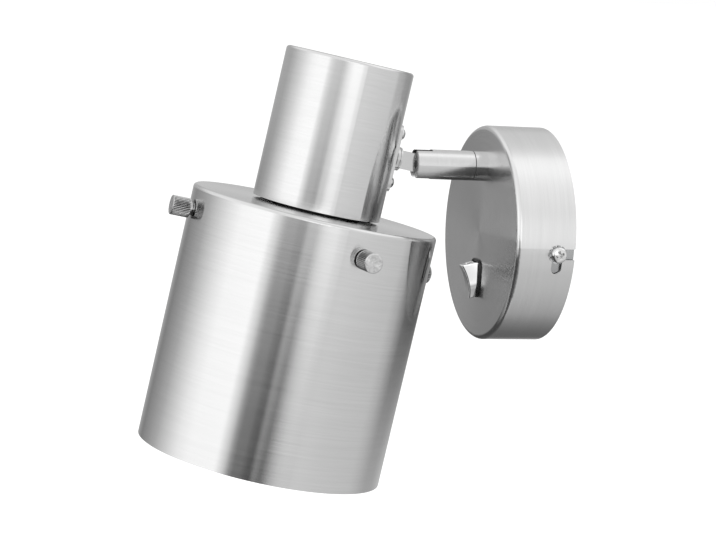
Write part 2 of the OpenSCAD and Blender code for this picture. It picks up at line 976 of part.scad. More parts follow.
module shade_carrier() {
    color("lightgray")
        tube_frame()
            difference() {
                union() {
                    translate([0, 0, -plate_top - carrier_t])
                        cylinder(r = carrier_r, h = carrier_t);
                    translate([0, 0, -carrier_top - carrier_h])
                        ring(carrier_r, carrier_r - carrier_rim_t, carrier_h);
                    each_thumb()
                        translate([0, 0, thumb_shank_in])
                            cylinder(d = boss_d, h = boss_l - carrier_rim_t / 2);
                }
                translate([0, 0, -plate_top - carrier_t - cut])
                    cylinder(r = skirt_r + pass_fit, h = carrier_t + 2 * cut);
                translate([0, 0, -plate_top - carrier_t - cut])
                    linear_extrude(carrier_t + 2 * cut)
                        for (i = [0 : vent_n - 1])
                            rotate([0, 0, (i + 0.5) * 360 / vent_n])
                                translate([(vent_in + vent_out) / 2, 0])
                                    slot(vent_out - vent_in, vent_w);
                each_thumb()
                    translate([0, 0, thumb_shank_in - cut])
                        cylinder(r = thumb_screw_d / 2 + fit, h = shade_r);
            }
}

module shade() {
    color("gainsboro")
        tube_frame()
            difference() {
                translate([0, 0, -shade_top - shade_h])
                    cup(shade_r, shade_h, sheet_t, sheet_edge_r);
                translate([0, 0, -shade_top - sheet_t - cut])
                    cylinder(d = shade_hole_d, h = sheet_t + 2 * cut);
                each_thumb()
                    translate([0, 0, thumb_shank_in])
                        cylinder(r = thumb_screw_d / 2 + pass_fit, h = shade_r);
            }
}

// Toothed outline of a knurled head
module knurl(r) {
    polygon([for (i = [0 : 2 * knurl_n - 1])
        let (a = i * 180 / knurl_n, q = r - (i % 2) * knurl_depth)
            [q * cos(a), q * sin(a)]]);
}

module thumbscrew(i) {
    head_start = thumb_seat + thumb_neck_l;
    // The plain ends stay inside the knurl's roots
    end_r = thumb_d / 2 - 2 * knurl_depth;
    color("silver")
        tube_frame()
            thumb_frame(i) {
                translate([0, 0, thumb_shank_in])
                    cylinder(d = thumb_screw_d, h = thumb_seat - thumb_shank_in);
                translate([0, 0, thumb_seat])
                    cylinder(d = thumb_neck_d, h = thumb_neck_l);
                translate([0, 0, head_start + thumb_chamfer])
                    linear_extrude(thumb_l - 2 * thumb_chamfer)
                        knurl(thumb_d / 2);
                translate([0, 0, head_start])
                    rotate_extrude()
                        polygon([[0, 0], [end_r - thumb_chamfer, 0], [end_r, thumb_chamfer],
                            [end_r, thumb_l - thumb_chamfer], [end_r - thumb_chamfer, thumb_l],
                            [0, thumb_l]]);
            }
}

module thumbscrew_1() {
    thumbscrew(0);
}

module thumbscrew_2() {
    thumbscrew(1);
}

module thumbscrew_3() {
    thumbscrew(2);
}

module thumbscrew_4() {
    thumbscrew(3);
}

module switch_housing() {
    color("black")
        switch_frame()
            difference() {
                union() {
                    linear_extrude(bezel_t)
                        round_rect(housing_w + 2 * bezel_lip, housing_h + 2 * bezel_lip, bezel_lip);
                    translate([-housing_w / 2, -housing_h / 2, -switch_depth])
                        cube([housing_w, housing_h, switch_depth]);
                }
                translate([-opening_w / 2, -opening_h / 2, -cavity_depth])
                    cube([opening_w, opening_h, cavity_depth + bezel_t + cut]);
                translate([-housing_w / 2 - cut, 0, -axle_depth])
                    rotate([0, 90, 0])
                        cylinder(r = axle_d / 2 + fit, h = housing_w + 2 * cut);
            }
}

module switch_terminals() {
    color("goldenrod")
        switch_frame()
            for (y = [-1, 1])
                translate([-blade_w / 2, y * blade_pitch / 2 - blade_t / 2, -switch_depth - blade_l])
                    cube([blade_w, blade_t, blade_l]);
}

module rocker() {
    tip_v = axle_depth + rocker_rise;
    hollow_v = tip_v + sqrt(pow(rocker_hollow_r, 2) - pow(rocker_l / 2, 2));
    // The overhanging ends of the face stay clear of the bezel at both ends of the travel
    under_v = (axle_depth + bezel_t + run_gap + rocker_l / 2 * sin(rocker_swing)) / cos(rocker_swing);
    color("whitesmoke")
        switch_frame()
            translate([0, 0, -axle_depth])
                rotate([rocker_swing, 0, 0]) {
                    rotate([90, 0, 90])
                        linear_extrude(rocker_w, center = true)
                            difference() {
                                union() {
                                    circle(rocker_r);
                                    translate([-rocker_l / 2, under_v])
                                        square([rocker_l, tip_v - under_v]);
                                }
                                translate([-rocker_r - cut, -rocker_r - cut - rocker_base])
                                    square([2 * rocker_r + 2 * cut, rocker_r + cut]);
                                translate([0, hollow_v])
                                    circle(rocker_hollow_r);
                            }
                    rotate([0, 90, 0])
                        cylinder(d = axle_d, h = housing_w, center = true);
                }
}

module terminal_block() {
    color("white")
        out()
            translate([block_x, -block_l / 2, mid_top])
                difference() {
                    union() {
                        cube([block_w, block_l, block_h * block_base_share]);
                        for (i = [0 : pole_n - 1], x = [-1, 1])
                            translate([block_w / 2 + x * block_w / 4, (i + 0.5) * block_l / pole_n, 0])
                                cylinder(d = tower_d, h = block_h);
                    }
                    for (i = [0 : pole_n - 1]) {
                        translate([-cut, (i + 0.5) * block_l / pole_n, pole_d])
                            rotate([0, 90, 0])
                                cylinder(d = pole_d, h = block_w + 2 * cut);
                        for (x = [-1, 1])
                            translate([block_w / 2 + x * block_w / 4, (i + 0.5) * block_l / pole_n, pole_d])
                                cylinder(r = term_screw_head_d / 2 + run_gap, h = block_h);
                    }
                }
}

module terminal_screws() {
    slot_w = term_screw_head_d * slot_w_share;
    color("goldenrod")
        out()
            for (i = [0 : pole_n - 1], x = [-1, 1])
                translate([block_x + block_w / 2 + x * block_w / 4,
                    -block_l / 2 + (i + 0.5) * block_l / pole_n, mid_top + pole_d])
                    difference() {
                        cylinder(d = term_screw_head_d, h = term_screw_l);
                        translate([-term_screw_head_d, -slot_w / 2, term_screw_l - slot_w])
                            cube([2 * term_screw_head_d, slot_w, term_screw_head_d]);
                    }
}

module earth_screw() {
    color("gold")
        out()
            translate([earth_x, 0, mid_top])
                pan_screw(earth_d, earth_l - bracket_raise + bracket_t, earth_head_d, earth_head_h);
}

// Point and direction of a wire at share t of its run, from a to d with handles b and c
function run_point(a, b, c, d, t) =
    pow(1 - t, 3) * a + 3 * pow(1 - t, 2) * t * b + 3 * (1 - t) * t * t * c + t * t * t * d;
function run_heading(a, b, c, d, t) =
    pow(1 - t, 2) * (b - a) + 2 * (1 - t) * t * (c - b) + t * t * (d - c);
function unit(v) = v / norm(v);

// Insulated wire that leaves point a along da and arrives at point b against db
module wire(a, da, b, db, side) {
    ha = a + wire_handle * da;
    hb = b + wire_handle * db;
    rings = [for (i = [0 : wire_steps])
        let (t = i / wire_steps,
            p = run_point(a, ha, hb, b, t),
            h = unit(run_heading(a, ha, hb, b, t)),
            u = unit(cross(side, h)),
            v = cross(h, u))
            [for (k = [0 : wire_sides - 1])
                p + wire_d / 2 * (cos(360 * k / wire_sides) * u + sin(360 * k / wire_sides) * v)]];
    points = [for (r = rings, q = r) q];
    faces = concat(
        [[for (k = [0 : wire_sides - 1]) k]],
        [[for (k = [wire_sides - 1 : -1 : 0]) wire_steps * wire_sides + k]],
        [for (i = [0 : wire_steps - 1], k = [0 : wire_sides - 1])
            let (m = (k + 1) % wire_sides, lo = i * wire_sides, hi = lo + wire_sides)
                each [[lo + k, hi + k, hi + m], [lo + k, hi + m, lo + m]]]);
    polyhedron(points, faces);
}

// From the arm to the switch, to the terminal block and to the earth screw, and from switch to block
module canopy_wires() {
    start_out = canopy_h - nipple_l;
    pole_out = mid_top + pole_d;
    pole_up = block_l / pole_n;
    blade_out = canopy_h - switch_depth - blade_l / 2;
    blade_up = -switch_drop + blade_pitch / 2;
    gap = wire_d * wire_space_share;
    earth_wire_x = earth_x + earth_head_d / 2 + wire_d / 2 + run_gap;
    color("saddlebrown")
        out() {
            wire([-gap, arm_rise, start_out], [0, 0, -1],
                [0, blade_up + blade_t / 2 + run_gap, blade_out], [0, 1, 0], [1, 0, 0]);
            wire([gap, arm_rise, start_out], [0, 0, -1],
                [block_x, pole_up, pole_out], [-0.5, 0, 0.3], [0, 1, 0]);
            wire([0, arm_rise + wire_d, start_out], [0, 0, -1],
                [earth_wire_x, 0, mid_top + wire_d / 2 + run_gap], [0.5, 0.8, 0.1], [1, 0, 0]);
            wire([blade_w / 2 + run_gap, blade_up - blade_pitch, blade_out], [0.3, 0, 0],
                [block_x, -pole_up, pole_out], [-0.5, -0.3, 0.1], [0, 0, 1]);
        }
}

// Out of the stub, up past its nut, through the hanger and down into the nipple
module head_wires() {
    stub_end = flange_in - stub_l;
    gap = wire_d * wire_space_share;
    rise_n = stub_end - gap;
    rise_z = stub_nut_af / 2;
    hanger_z = hanger_up - hanger_t / 2;
    nipple_top = hanger_up + holder_nipple_up;
    color("saddlebrown")
        tube_frame()
            for (x = [-gap, gap]) {
                wire([x, stub_end, 0], [0, -0.06, 0], [x, rise_n, rise_z], [0, 0, -0.2], [1, 0, 0]);
                wire([x, rise_n, rise_z], [0, 0, 0.2], [x, hanger_hole_n, hanger_z], [0, 0, -0.3], [1, 0, 0]);
                wire([x, hanger_hole_n, hanger_z], [0, 0, 1.2], [x, 0, nipple_top], [0, 0, 1.2], [1, 0, 0]);
            }
}

wall_bracket();
canopy();
canopy_screws();
canopy_washers();
arm_base();
arm_lock_washer();
arm_nut();
swivel_washer();
fork_sleeve();
swivel_grub();
pivot_screw();
pivot_washers();
tongue();
tongue_nut();
saddle_plate();
saddle_screws();
holder_tube();
holder_bracket();
holder_nipple();
holder_nut();
lampholder_cap();
lampholder_body();
lampholder_core();
lampholder_shell();
lampholder_contact();
shade_ring_upper();
shade_ring_lower();
shade_carrier();
shade();
thumbscrew_1();
thumbscrew_2();
thumbscrew_3();
thumbscrew_4();
switch_housing();
switch_terminals();
rocker();
terminal_block();
terminal_screws();
earth_screw();
canopy_wires();
head_wires();
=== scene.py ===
"""Looks of the tube wall light: finishes, fine pieces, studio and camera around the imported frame."""

import json
import math

import bmesh
import bpy
from mathutils import Matrix, Vector


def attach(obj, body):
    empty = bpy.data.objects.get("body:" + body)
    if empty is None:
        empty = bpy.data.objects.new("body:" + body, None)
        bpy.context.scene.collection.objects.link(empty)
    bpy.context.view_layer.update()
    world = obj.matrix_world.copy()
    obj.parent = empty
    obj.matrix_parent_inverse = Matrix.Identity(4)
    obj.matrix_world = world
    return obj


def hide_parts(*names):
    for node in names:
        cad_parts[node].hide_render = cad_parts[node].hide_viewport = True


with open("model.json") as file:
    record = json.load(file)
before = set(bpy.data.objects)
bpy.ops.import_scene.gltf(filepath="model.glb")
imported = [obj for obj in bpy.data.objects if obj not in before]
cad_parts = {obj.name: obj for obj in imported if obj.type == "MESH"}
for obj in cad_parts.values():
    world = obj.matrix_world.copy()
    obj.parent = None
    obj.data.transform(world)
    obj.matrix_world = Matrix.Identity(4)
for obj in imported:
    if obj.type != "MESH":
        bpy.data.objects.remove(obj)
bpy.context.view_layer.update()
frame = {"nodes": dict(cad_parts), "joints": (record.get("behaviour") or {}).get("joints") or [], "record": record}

MM = 0.001
mounts = {m["name"]: m for m in frame["record"]["mounts"]}
joints = {j["name"]: j for j in frame["joints"]}
nodes = frame["nodes"]

# The tube's axis comes from the lamp socket, and the arm's from its swivel
HEAD_UP = -Vector(mounts["lamp_socket"]["axis"])
HEAD_AT = Vector(mounts["lamp_socket"]["pos_m"])
ARM_AXIS = Vector(joints["arm_swivel"]["axis"])
ARM_AT = Vector(joints["arm_swivel"]["pos_m"])
WALL_OUT = Vector((0, -1, 0))
ORIGIN = Vector((0, 0, 0))


# Camera

CAMERA_AT = Vector((868.8, -349.67, 118.97)) * MM
CAMERA_RIGHT = Vector((0.2795, 0.9581, 0.0622)).normalized()
CAMERA_BACK = Vector((0.9464, -0.2858, 0.1505)).normalized()
FRAME_WIDTH_PX = 716
FOCAL_PX = 1961.4
SENSOR_MM = 36.0
NEAREST = 0.01
FARTHEST = 200.0


def add_camera():
    back = (CAMERA_BACK - CAMERA_BACK.dot(CAMERA_RIGHT) * CAMERA_RIGHT).normalized()
    up = back.cross(CAMERA_RIGHT)
    data = bpy.data.cameras.new("camera")
    data.sensor_width = SENSOR_MM
    data.lens = SENSOR_MM * FOCAL_PX / FRAME_WIDTH_PX
    data.clip_start = NEAREST
    data.clip_end = FARTHEST
    camera = bpy.data.objects.new("camera", data)
    camera.matrix_world = Matrix((
        (CAMERA_RIGHT.x, up.x, back.x, CAMERA_AT.x),
        (CAMERA_RIGHT.y, up.y, back.y, CAMERA_AT.y),
        (CAMERA_RIGHT.z, up.z, back.z, CAMERA_AT.z),
        (0, 0, 0, 1),
    ))
    bpy.context.scene.collection.objects.link(camera)
    bpy.context.scene.camera = camera


# Shader graphs

class Graph:
    """A node tree with short calls for the nodes that the finishes use."""

    def __init__(self, tree):
        self.tree = tree
        tree.nodes.clear()

    def node(self, kind, inputs=None, **settings):
        made = self.tree.nodes.new(kind)
        for name, value in settings.items():
            setattr(made, name, value)
        for key, value in (inputs or {}).items():
            self.feed(made.inputs[key], value)
        return made

    def feed(self, socket, value):
        if isinstance(value, bpy.types.NodeSocket):
            self.tree.links.new(value, socket)
        else:
            socket.default_value = value

    def math(self, operation, a, b=0.0):
        return self.node("ShaderNodeMath", {0: a, 1: b}, operation=operation).outputs[0]

    def vector(self, operation, a, b=(0, 0, 0)):
        made = self.node("ShaderNodeVectorMath", {0: a, 1: b}, operation=operation)
        return made.outputs["Value" if operation in ("DOT_PRODUCT", "LENGTH") else "Vector"]

    def scaled(self, vector, factor):
        made = self.node("ShaderNodeVectorMath", {0: vector, "Scale": factor}, operation="SCALE")
        return made.outputs["Vector"]

    def span(self, value, low, high, to_low=0.0, to_high=1.0, smooth=False):
        made = self.node("ShaderNodeMapRange", {"Value": value, "From Min": low, "From Max": high,
                                                "To Min": to_low, "To Max": to_high},
                         interpolation_type="SMOOTHSTEP" if smooth else "LINEAR")
        return made.outputs["Result"]

    def swing(self, pattern, amount, low=0.3):
        """Value that a pattern moves by an amount to each side of zero."""
        return self.span(pattern, low, 1 - low, -amount, amount)

    def noise(self, vector, scale, detail=2.0, roughness=0.5):
        made = self.node("ShaderNodeTexNoise", {"Vector": vector, "Scale": scale, "Detail": detail,
                                                "Roughness": roughness})
        return made.outputs["Fac"]

    def mix(self, factor, a, b):
        made = self.node("ShaderNodeMix", {0: factor, 6: a, 7: b}, data_type="RGBA")
        return made.outputs[2]

    def ramp(self, value, stops):
        made = self.node("ShaderNodeValToRGB", {"Fac": value})
        elements = made.color_ramp.elements
        while len(elements) > 1:
            elements.remove(elements[-1])
        for i, (place, level) in enumerate(stops):
            element = elements[0] if i == 0 else elements.new(place)
            element.position = place
            element.color = grey(level)
        return made.outputs["Color"]

    def bump(self, height, distance):
        made = self.node("ShaderNodeBump", {"Height": height, "Distance": distance, "Strength": 1.0})
        return made.outputs["Normal"]

    def object_point(self):
        return self.node("ShaderNodeTexCoord").outputs["Object"]

    def roughness(self, pattern, swing, middle):
        """Roughness that a pattern moves by a swing to each side of its middle."""
        return self.math("ADD", self.swing(pattern, swing), middle)

    def surface(self, tint, roughness, normal, **more):
        """Principled surface with its colour, roughness and normal, on the material's output."""
        inputs = {"Base Color": tint, "Roughness": roughness, "Normal": normal, **more}
        shader = self.node("ShaderNodeBsdfPrincipled", inputs)
        self.node("ShaderNodeOutputMaterial", {"Surface": shader.outputs[0]})


def grey(value):
    return (value, value, value, 1.0)


def dimmed(colour, share=1.0):
    """Opaque colour for a socket, dimmed to a share."""
    return [c * share for c in colour] + [1.0]


def new_material(name):
    material = bpy.data.materials.new(name)
    material.use_nodes = True
    return material, Graph(material.node_tree)


# Finishes: depth of a relief of 1 in millimetres, and the scale of the clouds in brushed metal
RELIEF_MM = 0.01
BRUSH_CLOUD = 22.0
# Turns of the brush lines' noise round the axis, and how much wider the coarse lines are
BRUSH_TURNS = 1.6
COARSE_TURNS = 0.6
COARSE_LINES = 7
# Shares by which lines and clouds change the tone, and amounts by which they change the roughness
FINE_TONE = 0.035
COARSE_TONE = 0.014
CLOUD_TONE = 0.012
FINE_ROUGH = 0.015
CLOUD_ROUGH = 0.01
# Grains as noise scales, from the size of a grain
METAL_GRAIN = 1 / (0.6 * MM)
METAL_RELIEF = 0.2
METAL_CLOUD = 60.0
PLASTIC_GRAIN = 1 / (0.4 * MM)
PLASTIC_CLOUD = 90.0
PLASTIC_ROUGH = 0.04
PLASTIC_LOW = 0.85
KNURL_GRAIN = 2600.0
KNURL_PATCHES = 620.0
# Knurled head along local Z in millimetres: its grooves' radius, its end and its start, marks and relief
GROOVE_FROM = 4.20
GROOVE_TO = 4.46
END_FROM = 9.2
END_TO = 9.4
HEAD_FROM = 1.0
LATHE_MARK = 0.34
KNURL_BUMP = 0.06
# Its heights against the grain's, the share that its patches keep of its colour, and the share left in its
# grooves, which are darkened as painted shade
LATHE_HEIGHT = 0.3
PATCH_HEIGHT = 2.2
PATCH_LOW = 0.72
GROOVE_PAINTED_SHADE = 0.08
# Bands of the earth wire: length, lean against the axes and the ground's share
STRIPE_MM = 5.0
STRIPE_LEAN = (0.5, 0.3, 1.0)
STRIPE_SHARE = 0.6


def turned_coordinates(g, at, axis):
    """Point from a place on an axis, its part square to the axis, its distance out and its place along."""
    point = g.vector("SUBTRACT", g.object_point(), tuple(at))
    along = g.vector("DOT_PRODUCT", point, tuple(axis))
    radial = g.vector("SUBTRACT", point, g.scaled(tuple(axis), along))
    out = g.vector("LENGTH", radial)
    return point, radial, out, along


def brushed(name, at, axis, colour, roughness, anisotropy, line_mm, relief):
    """Metal brushed round an axis, with its highlights drawn out across the lines."""
    material, g = new_material(name)
    point, radial, out, along = turned_coordinates(g, at, axis)
    heading = g.vector("NORMALIZE", radial)
    # Brush lines run round the axis, so they change only outwards and along it
    across = g.math("ADD", out, along)

    def lines(turns, width_mm, detail, noise_roughness):
        step = g.scaled(tuple(axis), g.math("DIVIDE", across, width_mm * MM))
        return g.noise(g.vector("ADD", g.scaled(heading, turns), step), 1.0, detail, noise_roughness)

    fine = lines(BRUSH_TURNS, line_mm, 3.0, 0.6)
    coarse = lines(BRUSH_TURNS * COARSE_TURNS, COARSE_LINES * line_mm, 2.0, 0.5)
    cloud = g.noise(g.scaled(point, BRUSH_CLOUD), 1.0, detail=3.0)
    shade = g.math("ADD", g.swing(fine, FINE_TONE, low=0.25), g.swing(coarse, COARSE_TONE))
    shade = g.math("ADD", shade, g.swing(cloud, CLOUD_TONE))
    tone = g.math("MULTIPLY", g.math("ADD", shade, 1.0), colour)
    tint = g.node("ShaderNodeCombineColor", {0: tone, 1: tone, 2: tone}).outputs[0]
    rough = g.math("ADD", g.swing(fine, FINE_ROUGH, low=0.25), g.swing(cloud, CLOUD_ROUGH))
    rough = g.math("ADD", rough, roughness)
    round_way = g.vector("CROSS_PRODUCT", tuple(axis), radial)
    turned_way = g.node("ShaderNodeVectorTransform", {0: round_way}, vector_type="VECTOR",
                        convert_from="OBJECT", convert_to="WORLD").outputs[0]
    facing = g.node("ShaderNodeNewGeometry").outputs["Normal"]
    tangent = g.vector("NORMALIZE", g.vector("CROSS_PRODUCT", turned_way, facing))
    g.surface(tint, rough, g.bump(fine, relief * RELIEF_MM * MM),
              Metallic=1.0, Anisotropic=anisotropy, Tangent=tangent)
    return material


def metal(name, colour, roughness, variation=0.03):
    """Plain metal with a faint grain and small changes of tone."""
    material, g = new_material(name)
    point = g.object_point()
    grain = g.noise(point, METAL_GRAIN, detail=3.0)
    cloud = g.noise(point, METAL_CLOUD)
    tint = g.mix(g.span(cloud, 0.3, 0.7), dimmed(colour, 1 - 1.5 * variation), dimmed(colour))
    normal = g.bump(grain, METAL_RELIEF * RELIEF_MM * MM)
    g.surface(tint, g.roughness(grain, variation, roughness), normal, Metallic=1.0)
    return material


def knurled_metal(name, colour, roughness):
    """Turned steel of a knurled head along local Z: painted shade darkens its grooves, with a lathe's marks on its
    end.
    """
    material, g = new_material(name)
    point, radial, out, along = turned_coordinates(g, ORIGIN, (0, 0, 1))
    grain = g.noise(point, KNURL_GRAIN, detail=3.0)
    patches = g.noise(point, KNURL_PATCHES, detail=3.0, roughness=0.65)
    groove = g.span(out, GROOVE_FROM * MM, GROOVE_TO * MM)
    end = g.span(along, END_FROM * MM, END_TO * MM)
    # Everywhere but the grooves; in the grooves the colour is darkened as painted shade
    unshaded_by_grooves = g.math("MAXIMUM", g.math("MAXIMUM", groove, end), g.math("LESS_THAN", along, HEAD_FROM * MM))
    face = g.mix(g.span(patches, 0.35, 0.65), dimmed(colour, PATCH_LOW), dimmed(colour))
    tint = g.mix(unshaded_by_grooves, dimmed(colour, GROOVE_PAINTED_SHADE), face)
    rough = g.math("ADD", g.span(patches, 0.3, 0.7, -0.05, 0.08), roughness)
    rings = g.math("SINE", g.math("MULTIPLY", out, 2 * math.pi / (LATHE_MARK * MM)))
    marks = g.math("MULTIPLY", g.math("MULTIPLY", rings, end), LATHE_HEIGHT)
    height = g.math("ADD", g.math("ADD", marks, g.math("MULTIPLY", patches, PATCH_HEIGHT)), grain)
    g.surface(tint, rough, g.bump(height, KNURL_BUMP * MM), Metallic=1.0)
    return material


def moulded(name, roughness, tint_at):
    """Plastic with a fine grain, and a tint worked out from the point."""
    material, g = new_material(name)
    point = g.object_point()
    grain = g.noise(point, PLASTIC_GRAIN)
    g.surface(tint_at(g, point), g.roughness(grain, PLASTIC_ROUGH, roughness), g.bump(grain, RELIEF_MM * MM))
    return material


def plastic(name, colour, roughness):
    def tint_at(g, point):
        cloud = g.noise(point, PLASTIC_CLOUD)
        return g.mix(g.span(cloud, 0.3, 0.7), dimmed(colour, PLASTIC_LOW), dimmed(colour))
    return moulded(name, roughness, tint_at)


def striped(name, ground, stripe, roughness):
    """Insulation with a second colour in bands."""
    def tint_at(g, point):
        along = g.vector("DOT_PRODUCT", point, tuple(part / (STRIPE_MM * MM) for part in STRIPE_LEAN))
        band = g.math("GREATER_THAN", g.math("FRACT", along), STRIPE_SHARE)
        return g.mix(band, dimmed(ground), dimmed(stripe))
    return moulded(name, roughness, tint_at)


# Studio: cards as (degrees round from the camera's own direction, level), for metal that looks
# upwards, a little down and further down along the head's axis, and at the ground and the ceiling
UPPER_CARDS = (
    (-180, 0.60), (-160, 0.48), (-126, 0.52), (-114, 0.62), (-90, 0.90), (-66, 1.28), (-54, 1.38), (-37, 1.38),
    (-30, 1.04), (-22, 0.95), (-10, 0.88), (-6, 1.00), (0, 1.20), (4, 1.42), (10, 1.55), (24, 1.45),
    (30, 1.10), (36, 0.92), (60, 0.87), (96, 0.80), (104, 0.62), (116, 0.56), (128, 0.44), (148, 0.38),
    (166, 0.50), (180, 0.60))
MIDDLE_CARDS = (
    (-180, 0.60), (-158, 0.36), (-144, 0.26), (-126, 0.38), (-112, 0.50), (-90, 0.92), (-68, 1.34), (-38, 1.38),
    (-34, 1.08), (-30, 0.90), (-26, 0.55), (-22, 0.36), (-14, 0.35), (-10, 0.24), (-6, 0.16), (-2, 0.50),
    (1, 0.44), (4, 0.36), (8, 0.62), (12, 0.92), (17, 1.04), (24, 1.04), (30, 0.84), (40, 0.83),
    (60, 0.76), (96, 0.68), (108, 0.50), (116, 0.26), (126, 0.03), (150, 0.02), (164, 0.06), (180, 0.60))
LOW_CARDS = (
    (-180, 0.55), (-158, 0.38), (-144, 0.27), (-126, 0.40), (-112, 0.55), (-96, 0.85), (-80, 1.20), (-66, 1.35),
    (-38, 1.40), (-34, 1.14), (-30, 0.86), (-25, 0.34), (-21, 0.16), (-14, 0.14), (-10, 0.07), (-6, 0.03),
    (-2, 0.20), (1, 0.12), (4, 0.05), (8, 0.20), (12, 0.40), (18, 0.62), (26, 0.72), (38, 0.78),
    (100, 0.70), (124, 0.54), (140, 0.52), (160, 0.60), (180, 0.50))
GROUND_CARDS = (
    (-180, 0.13), (-150, 0.07), (-15, 0.06), (10, 0.20), (34, 0.76), (44, 0.74),
    (56, 0.54), (108, 0.40), (149, 0.24), (166, 0.15), (180, 0.13))
CEILING_CARDS = (
    (-180, 0.72), (-120, 1.05), (-60, 1.10), (44, 0.92), (60, 1.10), (72, 1.28),
    (118, 1.14), (150, 0.84), (168, 0.74), (180, 0.72))
# Where one height of cards runs over into the next, along the head's axis and, for the ceiling, upwards
MIDDLE_TO_UPPER = (-0.090, -0.025)
MIDDLE_TO_LOW = (-0.10, -0.20)
LOW_TO_GROUND = (-0.26, -0.42)
UPPER_TO_CEILING = (0.25, 0.60)
EVEN_LIGHT = 0.7


def add_world():
    """White to the camera, an even light on matt surfaces, and a studio of cards in the metal."""
    world = bpy.data.worlds.new("studio")
    bpy.context.scene.world = world
    world.use_nodes = True
    g = Graph(world.node_tree)
    direction = g.node("ShaderNodeTexCoord").outputs["Generated"]
    parts = g.node("ShaderNodeSeparateXYZ", {0: direction}).outputs
    # Turn from the camera's own direction, from -180 to 180 degrees, as a share of the whole turn
    camera_turn = math.atan2(CAMERA_BACK.x, -CAMERA_BACK.y)
    turn = g.math("ARCTAN2", parts["X"], g.math("MULTIPLY", parts["Y"], -1.0))
    turn = g.math("SUBTRACT", turn, camera_turn)
    share = g.math("FRACT", g.math("ADD", g.math("DIVIDE", turn, 2 * math.pi), 0.5))

    def cards(pairs):
        return g.ramp(share, [(degrees / 360 + 0.5, level) for degrees, level in pairs])

    lean = g.vector("DOT_PRODUCT", direction, tuple(HEAD_UP))
    seen = g.mix(g.span(lean, *MIDDLE_TO_UPPER, smooth=True), cards(MIDDLE_CARDS), cards(UPPER_CARDS))
    seen = g.mix(g.span(lean, *MIDDLE_TO_LOW), seen, cards(LOW_CARDS))
    seen = g.mix(g.span(lean, *LOW_TO_GROUND, smooth=True), seen, cards(GROUND_CARDS))
    seen = g.mix(g.span(parts["Z"], *UPPER_TO_CEILING, smooth=True), seen, cards(CEILING_CARDS))
    ray = g.node("ShaderNodeLightPath").outputs
    seen = g.mix(ray["Is Glossy Ray"], grey(EVEN_LIGHT), seen)
    seen = g.mix(ray["Is Camera Ray"], seen, grey(1.0))
    background = g.node("ShaderNodeBackground", {"Color": seen, "Strength": 1.0})
    g.node("ShaderNodeOutputWorld", {"Surface": background.outputs[0]})


FLOOR_Z = -0.36
FLOOR_SIZE = 120.0
PAPER = 0.82
PAPER_GLOW = 0.55


def add_floor():
    """Pale floor that takes the object's shadow and shows white to the camera where it is lit."""
    mesh = bpy.data.meshes.new("floor")
    half = FLOOR_SIZE / 2
    mesh.from_pydata([(x, y, FLOOR_Z) for x, y in ((-half, -half), (half, -half), (half, half), (-half, half))],
                     [], [(0, 1, 2, 3)])
    floor = bpy.data.objects.new("floor", mesh)
    bpy.context.scene.collection.objects.link(floor)
    material, g = new_material("floor_paper")
    ray = g.node("ShaderNodeLightPath").outputs
    paper = g.node("ShaderNodeBsdfDiffuse", {"Color": grey(PAPER)}).outputs[0]
    glow = g.node("ShaderNodeEmission", {"Color": grey(PAPER_GLOW), "Strength": ray["Is Camera Ray"]}).outputs[0]
    lifted = g.node("ShaderNodeAddShader", {0: paper, 1: glow}).outputs[0]
    # Metal sees the studio's own lower half in place of the paper
    clear = g.node("ShaderNodeBsdfTransparent").outputs[0]
    shown = g.node("ShaderNodeMixShader", {0: ray["Is Glossy Ray"], 1: lifted, 2: clear}).outputs[0]
    g.node("ShaderNodeOutputMaterial", {"Surface": shown})
    mesh.materials.append(material)


# Lamps: name, place, size and power, all of them aimed at the middle of the light
LAMPS = (
    ("key", (0.75, -1.25, 0.75), (0.9, 0.9), 9),
    ("fill", (1.1, 0.55, 0.35), (0.8, 1.0), 4),
)
LAMPS_AIM = Vector((0, -0.08, -0.03))


def add_lamps():
    for name, at, size, power in LAMPS:
        data = bpy.data.lights.new(name, "AREA")
        data.shape = "RECTANGLE"
        data.size, data.size_y = size
        data.energy = power
        lamp = bpy.data.objects.new(name, data)
        lamp.location = at
        lamp.rotation_euler = (LAMPS_AIM - Vector(at)).to_track_quat("-Z", "Y").to_euler()
        lamp.visible_glossy = False
        bpy.context.scene.collection.objects.link(lamp)


# Pieces

class Shape:
    """Surface of one piece, collected part by part from lofted loops in millimetres."""

    def __init__(self):
        self.points = []
        self.faces = []

    def loft(self, loops, place=None, closed=False):
        """Skin over loops of equal length; a loop of one point is a pole, and open ends are capped."""
        place = place or Matrix()
        rows = []
        for loop in loops:
            first = len(self.points)
            self.points += [place @ (Vector(p) * MM) for p in loop]
            rows.append(list(range(first, first + len(loop))))
        for low, high in zip(rows, rows[1:] + ([rows[0]] if closed else [])):
            count = max(len(low), len(high))
            for k in range(count):
                m = (k + 1) % count
                if len(low) == 1:
                    self.faces.append((low[0], high[m], high[k]))
                elif len(high) == 1:
                    self.faces.append((low[k], low[m], high[0]))
                else:
                    self.faces.append((low[k], low[m], high[m], high[k]))
        if not closed:
            for row in (rows[0], rows[-1]):
                if len(row) > 2:
                    self.faces.append(tuple(row))

    def piece(self, name, body, slot, material, *stands_for, sharp=32.0, place=None):
        mesh = bpy.data.meshes.new(name)
        mesh.from_pydata([tuple(p) for p in self.points], [], self.faces)
        work = bmesh.new()
        work.from_mesh(mesh)
        bmesh.ops.recalc_face_normals(work, faces=work.faces)
        work.to_mesh(mesh)
        work.free()
        mesh.polygons.foreach_set("use_smooth", [True] * len(mesh.polygons))
        mesh.set_sharp_from_angle(angle=math.radians(sharp))
        mesh.materials.append(material)
        return add_piece(name, mesh, body, stands_for, place)


def add_piece(name, data, body, stands_for, place=None):
    piece = bpy.data.objects.new(name, data)
    if place is not None:
        piece.matrix_world = place
    bpy.context.scene.collection.objects.link(piece)
    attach(piece, body)
    if stands_for:
        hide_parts(*stands_for)
    return piece


